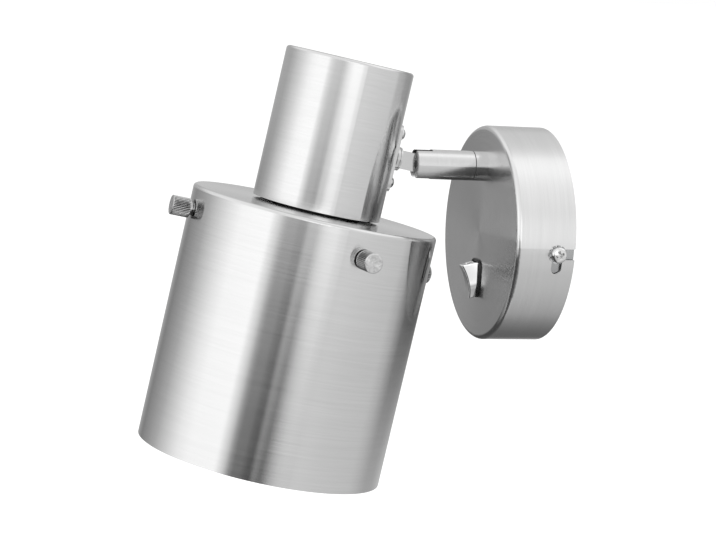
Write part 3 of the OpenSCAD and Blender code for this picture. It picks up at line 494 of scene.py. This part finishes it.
def stand(at, axis):
    """Placement at a point, with local Z along an axis."""
    return Matrix.Translation(at) @ Vector(axis).to_track_quat("Z", "Y").to_matrix().to_4x4()


def spun(place, degrees):
    """The placement, turned about its own Z."""
    return place @ Matrix.Rotation(math.radians(degrees), 4, "Z")


def turned(outline, segments=96, shape=None):
    """Loops of a turned form from (radius, height) points; shape may move each point."""
    loops = []
    for radius, height in outline:
        if radius == 0:
            loops.append([(0, 0, height)])
            continue
        loop = []
        for k in range(segments):
            angle = 2 * math.pi * k / segments
            r, z = shape(radius, height, angle) if shape else (radius, height)
            loop.append((r * math.cos(angle), r * math.sin(angle), z))
        loops.append(loop)
    return loops


def arc(middle_r, middle_z, radius, start, end, steps):
    """Points of a rounded edge in a turned outline, angles in degrees from outwards to up."""
    return [(middle_r + radius * math.cos(math.radians(start + (end - start) * i / steps)),
             middle_z + radius * math.sin(math.radians(start + (end - start) * i / steps)))
            for i in range(steps + 1)]


def spread(low, high, steps):
    return [low + (high - low) * i / steps for i in range(steps + 1)]


CORNER_STEPS = 4


def rect_loop(width, height, radius, z):
    """Rectangle with rounded corners at one level."""
    loop = []
    for quarter, (sx, sy) in enumerate(((1, 1), (-1, 1), (-1, -1), (1, -1))):
        for i in range(CORNER_STEPS + 1):
            angle = math.radians(90 * quarter + 90 * i / CORNER_STEPS)
            loop.append((sx * (width / 2 - radius) + radius * math.cos(angle),
                         sy * (height / 2 - radius) + radius * math.sin(angle), z))
    return loop


# Screws with a cross recess: share of its width over which a wall leans, and of its length for an arm's end
RECESS_LEAN = 0.22
RECESS_RUNOUT = 0.30
HEAD_SEGMENTS = 112


def cross_recess(length, width, depth, top):
    """Shape of a head's top with a cross recess whose walls lean and whose arms run out."""
    def shape(r, z, angle):
        if z < top - depth:
            return r, z
        x, y = abs(r * math.cos(angle)), abs(r * math.sin(angle))
        sink = 0.0
        for u, v in ((x, y), (y, x)):
            side = (width / 2 - v) / (RECESS_LEAN * width)
            end = (length / 2 - u) / (RECESS_RUNOUT * length)
            sink = max(sink, min(1.0, side, end))
        return r, z - depth * max(0.0, sink)
    return shape


def shank(radius, length, chamfer, head_r, head_edge):
    """Outline of a screw from its tip to the edge under its head."""
    return [(0, -length), (radius - chamfer, -length), (radius, -length + chamfer), (radius, 0),
            (head_r - head_edge, 0), (head_r, head_edge)]


def crossed_head(outline, edge_r, steps, height, height_at, recess):
    """Loops of a screw: its outline, the rings of its top and a recess of (length, width, depth)."""
    rings = [edge_r * (1 - i / steps) for i in range(1, steps + 1)]
    outline = outline + [(r, height_at(r)) for r in rings]
    outline[-1] = (0, height - recess[2])
    return turned(outline, HEAD_SEGMENTS, cross_recess(*recess, height))


# Knurled head of a thumbscrew: teeth, radius, and the knurl's ends, depth, run-out and inner limit
THUMB_TEETH = 34
THUMB_R = 4.5
THUMB_EDGE = 0.32
THUMB_END = 9.62
THUMB_CROWN = 0.055
KNURL_FROM = 1.3
KNURL_TO = 9.25
KNURL_DEPTH = 0.36
KNURL_FADE = 0.35
KNURL_IN_R = 4.2


def knurled(r, z, angle):
    """Straight knurl that runs out at both ends of the head."""
    if r < KNURL_IN_R or not KNURL_FROM < z < KNURL_TO:
        return r, z
    wave = angle * THUMB_TEETH / (2 * math.pi)
    groove = 1 - abs(2 * (wave - math.floor(wave)) - 1)
    fade = min(1.0, (z - KNURL_FROM) / KNURL_FADE, (KNURL_TO - z) / KNURL_FADE)
    return r - KNURL_DEPTH * groove * fade, z


def add_thumbscrews(material):
    flank_r = THUMB_R - THUMB_EDGE
    outline = [(0, -7.5), (1.6, -7.5), (2.0, -7.1), (2.0, 0.1), (2.95, 0.1), (3.0, 0.15), (3.0, HEAD_FROM),
               (3.9, HEAD_FROM)]
    outline += arc(flank_r, HEAD_FROM + THUMB_EDGE, THUMB_EDGE, -80, 0, 3)
    outline += [(THUMB_R, z) for z in spread(1.7, 8.9, 6)]
    outline += arc(flank_r, KNURL_TO, THUMB_EDGE, 15, 70, 3)
    outline += [(r, THUMB_END - THUMB_CROWN * (r / KNURL_IN_R) ** 2) for r in (3.9, 3.2, 2.4, 1.6, 0.8)]
    outline += [(0, THUMB_END)]
    for i in range(1, 5):
        joint = joints[f"thumbscrew_{i}_turn"]
        shape = Shape()
        shape.loft(turned(outline, THUMB_TEETH * 8, knurled))
        shape.piece(f"thumb_screw_{i}", f"thumb_{i}", "screw_steel", material, f"thumbscrew_{i}",
                    place=stand(Vector(joint["pos_m"]), joint["axis"]), sharp=28)


# Side screws of the canopy: distance out along X, from the wall and below the middle, and their turn
CANOPY_R = 50.75
SIDE_OUT = 8.5
SIDE_DROP = 2.5
SIDE_TURN = 20
SIDE_HEAD_R = 3.6
SIDE_HEAD_H = 2.6
SIDE_EDGE = 1.1
SIDE_RECESS = (4.1, 1.15, 1.5)
PAN_CROWN = 0.12
WASHER_T = 0.7
WASHER_TEETH = 11
WASHER_IN, WASHER_MID, WASHER_OUT = 2.15, 3.3, 4.3


def side_places(distance):
    for sign in (1, -1):
        at = Vector((sign * distance, -SIDE_OUT, -sign * SIDE_DROP)) * MM
        yield spun(stand(at, (sign, 0, 0)), SIDE_TURN)


def pan_head():
    crown = PAN_CROWN * SIDE_HEAD_H
    edge_r = SIDE_HEAD_R - SIDE_EDGE

    def height_at(r):
        return SIDE_HEAD_H - crown * (r / edge_r) ** 2

    outline = shank(radius=2.0, length=9.0, chamfer=0.4, head_r=SIDE_HEAD_R, head_edge=0.1)
    outline += arc(edge_r, SIDE_HEAD_H - crown - SIDE_EDGE, SIDE_EDGE, 0, 85, 6)
    return crossed_head(outline, edge_r, 26, SIDE_HEAD_H, height_at, SIDE_RECESS)


def add_star_washer(shape, place):
    """Lock washer with twisted teeth round its edge."""
    root = WASHER_MID - 0.4
    sheet = 0.42 * WASHER_T
    half = 0.30 * 2 * math.pi / WASHER_TEETH
    ring = [(WASHER_IN, 0.12), (WASHER_MID, 0.12), (WASHER_MID, WASHER_T * 0.75), (WASHER_IN, WASHER_T * 0.75)]
    shape.loft(turned(ring, 66), place, closed=True)
    for k in range(WASHER_TEETH):
        angle = 2 * math.pi * k / WASHER_TEETH
        loops = []
        for r in (root, (WASHER_MID + WASHER_OUT) / 2, WASHER_OUT):
            twist = (r - root) / (WASHER_OUT - root)
            loop = []
            for side, level in ((-1, 0), (1, 0), (1, 1), (-1, 1)):
                lean = side * twist * 0.28 * WASHER_T
                z = 0.5 * WASHER_T + lean + (level - 0.5) * sheet
                loop.append((r * math.cos(angle + side * half), r * math.sin(angle + side * half), z))
            loops.append(loop)
        shape.loft(loops, place)


def add_side_screws(material, washer_material):
    screws, washers = Shape(), Shape()
    for place in side_places(CANOPY_R + WASHER_T):
        screws.loft(pan_head(), place)
    for place in side_places(CANOPY_R):
        add_star_washer(washers, place)
    screws.piece("side_screws", "base", "screw_steel", material, "canopy_screws")
    washers.piece("side_washers", "base", "screw_steel", washer_material, "canopy_washers", sharp=25)


# The tube's axis at the pivot's level, and the frame of the saddle behind it
TUBE_R = 30.0
TUBE_REACH = 45.0
PIVOT_AT = Vector(joints["head_tilt"]["pos_m"])
TOWARD_WALL = Vector((1, 0, 0)).cross(HEAD_UP) * -1
# Saddle plate with a clearance on both sides, and its domed screws
SADDLE_T = 1.3
FIT = 0.05
SADDLE_PITCH = 23.0
SADDLE_TURN = 35
SADDLE_HEAD_R = 3.0
SADDLE_HEAD_H = 2.6
SADDLE_RECESS = (3.3, 0.95, 1.3)
DOME_RIM = 0.28


def head_point(n, z):
    """World point in the tube's middle plane, n millimetres from its axis towards the wall."""
    return PIVOT_AT + (TOWARD_WALL * (n - TUBE_REACH) + HEAD_UP * z) * MM


def dome_head():
    rim = DOME_RIM * SADDLE_HEAD_H
    rise = SADDLE_HEAD_H - rim
    ball = (SADDLE_HEAD_R ** 2 + rise ** 2) / (2 * rise)

    def height_at(r):
        return SADDLE_HEAD_H - ball + math.sqrt(ball ** 2 - r ** 2)

    outline = shank(radius=1.5, length=6.0, chamfer=0.3, head_r=SADDLE_HEAD_R, head_edge=0.15)
    outline.append((SADDLE_HEAD_R, rim * 0.8))
    return crossed_head(outline, SADDLE_HEAD_R, 28, SADDLE_HEAD_H, height_at, SADDLE_RECESS)


def add_saddle_screws(material):
    seat = TUBE_R + FIT + SADDLE_T + FIT
    shape = Shape()
    for z in (-SADDLE_PITCH / 2, SADDLE_PITCH / 2):
        shape.loft(dome_head(), spun(stand(head_point(seat, z), TOWARD_WALL), SADDLE_TURN))
    shape.piece("saddle_dome_screws", "head", "screw_steel", material, "saddle_screws")


# Switch: half the travel, then sizes in millimetres
ROCKER_SWING = math.radians(16)
ROCKER_W = 9.4
ROCKER_R = 7.8
ROCKER_HALF = 8.1
ROCKER_TIP = 7.6
ROCKER_BASE = -3.0
AXLE_DEPTH = 1.2
BEZEL_T = 0.9
RUN_GAP = 0.1
ROCKER_UNDER = ((AXLE_DEPTH + BEZEL_T + RUN_GAP + ROCKER_HALF * math.sin(ROCKER_SWING))
                / math.cos(ROCKER_SWING))
HOLLOW_R = 26.0
# Half width of the rocker's front, the drawn-in foot's level, the slope of a side's ends and where they start
RIDGE = 2.7
ROCKER_LOW = -0.2
TAPER = 0.11
TAPER_TOP_FROM = -2.0
TAPER_FOOT_FROM = -3.5
# Share of the way down that the brow still has, and the share of the outline's height that the foot keeps
BROW_LOW = 0.08
FOOT_RISE = 0.02
PIN_R = 1.0
PIN_HALF = 5.2


def rocker_outline(inset):
    """Side view of the rocker, drawn in by an inset: (up, out) about its axle, halfway through its travel."""
    foot_r = ROCKER_R - inset
    half = ROCKER_HALF - inset
    tip = ROCKER_TIP - 1.4 * inset
    under = ROCKER_UNDER + inset
    hollow = ROCKER_TIP + math.sqrt(HOLLOW_R ** 2 - ROCKER_HALF ** 2)

    def hollow_at(u):
        return u, hollow - math.sqrt((HOLLOW_R + inset) ** 2 - u ** 2)

    start = math.asin((ROCKER_BASE + inset) / foot_r)
    end = math.asin(under / foot_r)
    side = [(foot_r * math.cos(a), foot_r * math.sin(a)) for a in spread(start, end, 14)]
    side += [(half, v) for v in spread(under, tip - 0.35, 3)]
    side += [(half - 0.12, tip - 0.08), hollow_at(half - 0.4)]
    face = [hollow_at(u) for u in spread(half - 1.0, -half + 1.0, 20)]
    return side + face + [(-u, v) for u, v in reversed(side)]


def rocker_taper(u):
    """How far each side of the rocker draws in towards its top and its bottom."""
    return TAPER * max(0.0, u - TAPER_TOP_FROM) + TAPER * max(0.0, TAPER_FOOT_FROM - u)


def rocker_loop(x, inset, low):
    """The outline at one place along the axle; low draws its exposed part down into the bezel."""
    cos, sin = math.cos(ROCKER_SWING), math.sin(ROCKER_SWING)
    points = []
    for u, v in rocker_outline(inset):
        if v > ROCKER_LOW:
            v = v + (ROCKER_LOW + FOOT_RISE * v - v) * low
            u = u + (u * (ROCKER_R - inset) / ROCKER_HALF - u) * low
        points.append((x - math.copysign(rocker_taper(u), x), -(u * sin + v * cos), u * cos - v * sin))
    return points


def add_rocker(material):
    half = ROCKER_W / 2
    root = half - 0.25
    brow = RIDGE + 0.55
    sides = [(half, 0.35, 1.0), (half, 0.25, 1.0), (half - 0.08, 0.08, 1.0), (root, 0.0, 1.0)]
    sides += [(root + (brow - root) * t, 0.0, 1 - (1 - BROW_LOW) * t) for t in (0.03, 0.5, 0.96)]
    sides += [(brow, 0.0, BROW_LOW), (RIDGE + 0.25, 0.06, 0.02), (RIDGE, 0.0, 0.0), (RIDGE - 0.3, 0.0, 0.0)]
    loops = [rocker_loop(-x, inset, low) for x, inset, low in sides]
    loops += [rocker_loop(x, inset, low) for x, inset, low in reversed(sides)]
    axle = Vector(joints["switch_rock"]["pos_m"])
    shape = Shape()
    shape.loft(loops, Matrix.Translation(axle))
    pin = [(0, -PIN_HALF), (PIN_R, -PIN_HALF), (PIN_R, PIN_HALF), (0, PIN_HALF)]
    shape.loft(turned(pin, 24), stand(axle, (1, 0, 0)))
    shape.piece("rocker_paddle", "rocker", "rocker_chrome", material, "rocker", sharp=38)


# Switch case: the canopy's face, its wall, its lip over the canopy, its inner and outer depth
CANOPY_H = 28.5
CASE_WALL = 0.6
BEZEL_LIP = 0.7
CASE_POCKET = 5.2
CASE_DEPTH = 14.0


def add_switch_case(material):
    wide, tall = ROCKER_W + 2 * RUN_GAP, 2 * (ROCKER_R + RUN_GAP)
    case_w, case_h = wide + 2 * CASE_WALL, tall + 2 * CASE_WALL
    rim_w, rim_h = case_w + 2 * BEZEL_LIP, case_h + 2 * BEZEL_LIP
    # Each loop as what it adds to one of the three rectangles, its corners and its level
    pocket = ((0, 1.0, -CASE_POCKET), (0, 1.0, 0.62), (0.1, 1.05, 0.82), (0.4, 1.2, BEZEL_T))
    rim = ((-0.7, 3.8, BEZEL_T), (-0.3, 4.0, 0.8), (0, 4.2, 0.5), (0, 4.2, 0.0))
    case = ((0, 0.3, 0.0), (0, 0.3, CASE_WALL - CASE_DEPTH), (-2 * CASE_WALL, 0.3, -CASE_DEPTH))
    loops = []
    for width, height, rows in ((wide, tall, pocket), (rim_w, rim_h, rim), (case_w, case_h, case)):
        loops += [rect_loop(width + more, height + more, corner, z) for more, corner, z in rows]
    axle = Vector(joints["switch_rock"]["pos_m"])
    shape = Shape()
    shape.loft(loops, Matrix.Translation((0, -CANOPY_H * MM, axle.z)) @ Matrix.Rotation(math.radians(90), 4, "X"))
    shape.piece("switch_case", "base", "black_plastic", material, "switch_housing", sharp=30)


# Lampholder, from its mouth up: places along the tube's axis from the pivot's level, in millimetres
MOUTH = 48.1
CAP_JOINT = 13.1
PLATE_TOP = 36.6
PLATE_T = 1.5
# Its skirt with the outer thread, as far as that runs up, and the thread of the lamp's socket
SKIRT_R = 20.0
SKIRT_PITCH = 1.8
SKIRT_DEPTH = 0.55
SKIRT_FROM = 0.4
SKIRT_TO = 9.0
SKIRT_FADE = 1.2
SOCKET_R = 13.3
SOCKET_L = 24.6
SOCKET_PITCH = 3.629
SOCKET_DEPTH = 0.42
SOCKET_FADE = 1.5
SHELL_T = 0.25
SHELL_UP = 1.2
# Its cap, its two shade rings with their grips, and its centre contact
CAP_RISE = 27.3
RING_R = 25.5
RING_H = 3.6
RING_EDGE = 0.5
RING_NOTCHES = 36
RING_DEPTH = 0.45
CONTACT_UP = 26.0
STRIP_T = 0.4
STRIP_RISE = 1.5


def on_axis(z):
    """Placement on the tube's axis, with Z up along it."""
    return stand(head_point(0, z), HEAD_UP)


def skirt_thread(r, z, angle):
    if r < SKIRT_R - 0.1 or not SKIRT_FROM < z < SKIRT_TO:
        return r, z
    wave = 0.5 + 0.5 * math.cos(2 * math.pi * z / SKIRT_PITCH - angle)
    fade = min(1.0, (z - SKIRT_FROM) / SKIRT_FADE, (SKIRT_TO - z) / SKIRT_FADE)
    return r - SKIRT_DEPTH * wave * fade, z


def ring_grips(r, z, angle):
    if r < RING_R - RING_EDGE:
        return r, z
    wave = 0.5 + 0.5 * math.cos(angle * RING_NOTCHES)
    return r - RING_DEPTH * min(1.0, 1.6 * wave) ** 2, z


def socket_thread(r, z, angle):
    wave = 0.5 - 0.5 * math.cos(2 * math.pi * z / SOCKET_PITCH + angle)
    fade = min(1.0, z / SOCKET_FADE, (SOCKET_L - z) / SOCKET_FADE)
    return r + SOCKET_DEPTH * wave * max(0.0, fade), z


def add_holder(material):
    """The lampholder's skirt, its cap and the two rings that clamp the shade's carrier."""
    height = MOUTH - CAP_JOINT
    bore_r = SOCKET_R + 0.85
    outline = [(bore_r, 2.0), (bore_r, 0.4), (SOCKET_R + 1.25, 0.0), (SKIRT_R - 0.5, 0.0), (SKIRT_R, 0.4)]
    outline += [(SKIRT_R, z) for z in spread(0.5, 9.2, 40)]
    outline += [(SKIRT_R, height - 0.3), (SKIRT_R - 0.3, height), (SKIRT_R - 2.2, height), (SKIRT_R - 2.2, 2.0)]
    body = Shape()
    body.loft(turned(outline, 120, skirt_thread), on_axis(-MOUTH), closed=True)
    body.piece("holder_body", "head", "holder_plastic", material, "lampholder_body")

    outline = [(17.7, 0), (19.5, 0), (19.9, 0.4), (19.9, 3.6), (19.6, 4.2), (8.5, CAP_RISE - 6.0),
               (8.1, CAP_RISE - 5.5), (8.0, CAP_RISE - 0.5), (7.5, CAP_RISE), (5.1, CAP_RISE),
               (5.1, CAP_RISE - 8.2), (5.8, CAP_RISE - 8.2), (17.7, 4.0)]
    cap = Shape()
    cap.loft(turned(outline, 120), on_axis(-CAP_JOINT), closed=True)
    cap.piece("holder_cap", "head", "holder_plastic", material, "lampholder_cap")

    inner, rounded = SKIRT_R + FIT, RING_R - RING_EDGE
    outline = [(inner, 0), (rounded, 0), (RING_R, RING_EDGE), (RING_R, RING_H - RING_EDGE), (rounded, RING_H),
               (inner, RING_H)]
    for name, node, low in (("shade_ring_top", "shade_ring_upper", -PLATE_TOP),
                            ("shade_ring_foot", "shade_ring_lower", -PLATE_TOP - PLATE_T - RING_H)):
        ring = Shape()
        ring.loft(turned(outline, 216, ring_grips), on_axis(low), closed=True)
        ring.piece(name, "head", "holder_plastic", material, node)


def add_contacts(material):
    """The threaded shell, and the centre contact: a rivet and a tongue that springs towards the lamp."""
    levels = spread(0.0, SOCKET_L, 64)
    outline = [(SOCKET_R, z) for z in levels] + [(SOCKET_R + SHELL_T, z) for z in reversed(levels)]
    shell = Shape()
    shell.loft(turned(outline, 96, socket_thread), on_axis(-MOUTH + SHELL_UP), closed=True)
    shell.piece("thread_shell", "head", "contact_brass", material, "lampholder_shell")

    contact = Shape()
    seat = -(MOUTH - CONTACT_UP) - 0.2
    contact.loft(turned([(0, 0), (1.5, 0), (1.5, 0.5), (1.2, 0.75), (0, 0.85)], 36),
                 stand(head_point(-3.2, seat), -HEAD_UP))
    strip = []
    for share in spread(0.0, 1.0, 12):
        n = -4.6 + 6.6 * share
        half = 2.0 - 0.5 * share
        z = -STRIP_RISE * math.sin(math.pi * min(1.0, share * 1.05) / 2) ** 2
        strip.append([(-half, n, z), (half, n, z), (half, n, z + STRIP_T), (-half, n, z + STRIP_T)])
    axes = Matrix(((1, 0, 0), TOWARD_WALL, HEAD_UP)).transposed().to_4x4()
    contact.loft(strip, Matrix.Translation(head_point(0, seat)) @ axes)
    contact.piece("centre_contact", "head", "contact_brass", material, "lampholder_contact")


# Wires: each run is a start, its heading, an end and its heading, as in the solids
WIRE_R = 0.9
WIRE_HANDLE = 14.0
WIRE_GAP = 1.08
# In the canopy, out from the wall and up: the arm's bore, the switch's blades and the terminals
ARM_UP, ARM_OUT = 31.6, 16.5
BLADE_UP, BLADE_OUT = -17.75, 11.0
POLE_X, POLE_UP, POLE_OUT = 7.0, 20 / 3, 8.5
EARTH_X, EARTH_OUT = -8.0, 6.5
# In the tube, towards the wall and up: the stub's end, the rise behind the holder, the hanger and the nipple
STUB_N = 22.4
RISE_N, RISE_Z = 21.32, 5.5
HANGER_N, HANGER_Z = 15.0, 15.2
NIPPLE_Z = 21.0


def wire_run(curve, place, start, out_of, end, into):
    spline = curve.splines.new("BEZIER")
    spline.bezier_points.add(1)
    ends = ((Vector(start), Vector(out_of)), (Vector(end), Vector(into)))
    for point, (at, heading) in zip(spline.bezier_points, ends):
        point.handle_left_type = point.handle_right_type = "FREE"
        point.co = place(at)
        point.handle_left = point.handle_right = place(at + WIRE_HANDLE * heading)
    first, last = spline.bezier_points
    first.handle_left = first.co + (first.co - first.handle_right)
    last.handle_right = last.co + (last.co - last.handle_left)


def add_wire(name, body, node, material, place, runs):
    curve = bpy.data.curves.new(name, "CURVE")
    curve.dimensions = "3D"
    curve.bevel_depth = WIRE_R * MM
    curve.bevel_resolution = 4
    curve.resolution_u = 20
    curve.use_fill_caps = True
    for run in runs:
        wire_run(curve, place, *run)
    curve.materials.append(material)
    add_piece(name, curve, body, (node,))


def add_wires(brown, blue, earth):
    def canopy_at(p):
        return Vector((p.x, -p.z, p.y)) * MM

    def head_at(p):
        return head_point(p.y, p.z) + Vector((p.x * MM, 0, 0))

    blades = (0, BLADE_UP + 0.5, BLADE_OUT)
    for name, material, run in (
            ("wire_arm_to_switch", brown, ((-WIRE_GAP, ARM_UP, ARM_OUT), (0, 0, -1), blades, (0, 1, 0))),
            ("wire_arm_to_block", blue,
             ((WIRE_GAP, ARM_UP, ARM_OUT), (0, 0, -1), (POLE_X, POLE_UP, POLE_OUT), (-0.5, 0, 0.3))),
            ("wire_arm_to_earth", earth,
             ((0, ARM_UP + 2 * WIRE_R, ARM_OUT), (0, 0, -1), (EARTH_X, 0, EARTH_OUT), (0.5, 0.8, 0.1))),
            ("wire_switch_to_block", brown,
             ((2.5, BLADE_UP - 8, BLADE_OUT), (0.3, 0, 0), (POLE_X, -POLE_UP, POLE_OUT), (-0.5, -0.3, 0.1)))):
        add_wire(name, "base", "canopy_wires", material, canopy_at, [run])
    for name, x, material in (("wire_head_left", -WIRE_GAP, brown), ("wire_head_right", WIRE_GAP, blue)):
        add_wire(name, "head", "head_wires", material, head_at, [
            ((x, STUB_N, 0), (0, -0.06, 0), (x, RISE_N, RISE_Z), (0, 0, -0.2)),
            ((x, RISE_N, RISE_Z), (0, 0, 0.2), (x, HANGER_N, HANGER_Z), (0, 0, -0.3)),
            ((x, HANGER_N, HANGER_Z), (0, 0, 1.2), (x, 0, NIPPLE_Z), (0, 0, 1.2))])


# Finishes of the nodes, and the pieces that stand for some of them
STEEL = 0.70
# The canopy takes a lighter copy of the same steel: painted light that brightens its face
CANOPY_STEEL_PAINTED_LIGHTER = 0.76


def assign(node, material):
    mesh = nodes[node].data
    if not mesh.materials:
        mesh.materials.append(material)
    for i in range(len(mesh.materials)):
        mesh.materials[i] = material


def finish_nodes():
    tube = brushed("brushed_tube", HEAD_AT, HEAD_UP, STEEL, 0.11, 1.0, line_mm=0.34, relief=0.15)
    shade = brushed("brushed_shade", HEAD_AT, HEAD_UP, STEEL, 0.11, 1.0, line_mm=0.36, relief=0.15)
    canopy = brushed("brushed_canopy", ORIGIN, WALL_OUT, CANOPY_STEEL_PAINTED_LIGHTER, 0.21, 0.93, line_mm=0.30, relief=0.2)
    arm = brushed("turned_arm", ARM_AT, ARM_AXIS, STEEL, 0.12, 0.95, line_mm=0.22, relief=0.2)
    bright = metal("bright_screws", (0.78, 0.78, 0.78), 0.09)
    polished = metal("polished_steel", (0.62, 0.62, 0.62), 0.16)
    zinc = metal("zinc_plate", (0.50, 0.505, 0.51), 0.26, variation=0.06)
    chrome = metal("rocker_chrome", (0.88, 0.88, 0.88), 0.06)
    brass = metal("contact_brass", (0.80, 0.62, 0.34), 0.26)
    paint = plastic("carrier_paint", (0.75, 0.75, 0.74), 0.35)
    black = plastic("black_plastic", (0.010, 0.010, 0.010), 0.30)
    bakelite = plastic("holder_plastic", (0.02, 0.02, 0.02), 0.28)
    steatite = plastic("steatite", (0.82, 0.80, 0.74), 0.25)
    white_plastic = plastic("block_plastic", (0.85, 0.85, 0.83), 0.4)
    fibre = plastic("washer_fibre", (0.09, 0.09, 0.09), 0.6)
    insulation = plastic("wire_insulation", (0.20, 0.09, 0.04), 0.4)
    finishes = {
        tube: ["holder_tube"],
        shade: ["shade"],
        canopy: ["canopy"],
        arm: ["fork_sleeve", "arm_base"],
        bright: ["canopy_screws", "canopy_washers", "saddle_screws", "thumbscrew_1", "thumbscrew_2",
                 "thumbscrew_3", "thumbscrew_4", "pivot_screw"],
        polished: ["tongue", "saddle_plate"],
        zinc: ["wall_bracket", "arm_lock_washer", "arm_nut", "swivel_grub", "tongue_nut", "holder_bracket",
               "holder_nipple", "holder_nut"],
        chrome: ["rocker"],
        brass: ["lampholder_shell", "lampholder_contact", "switch_terminals", "terminal_screws",
                "earth_screw"],
        paint: ["shade_carrier"],
        black: ["switch_housing"],
        bakelite: ["lampholder_cap", "lampholder_body", "shade_ring_upper", "shade_ring_lower"],
        steatite: ["lampholder_core"],
        white_plastic: ["terminal_block"],
        fibre: ["swivel_washer", "pivot_washers"],
        insulation: ["canopy_wires", "head_wires"],
    }
    for material, names in finishes.items():
        for name in names:
            assign(name, material)
    knurl = knurled_metal("knurled_steel", (0.78, 0.78, 0.78), 0.16)
    brown = plastic("brown_insulation", (0.16, 0.065, 0.03), 0.38)
    blue = plastic("blue_insulation", (0.03, 0.12, 0.42), 0.38)
    earth = striped("earth_insulation", (0.05, 0.30, 0.06), (0.80, 0.68, 0.05), 0.38)
    add_thumbscrews(knurl)
    add_side_screws(bright, zinc)
    add_saddle_screws(bright)
    add_rocker(chrome)
    add_switch_case(black)
    add_holder(bakelite)
    add_contacts(brass)
    add_wires(brown, blue, earth)


add_camera()
add_world()
add_floor()
add_lamps()
finish_nodes()

bpy.context.scene.view_settings.view_transform = "Standard"
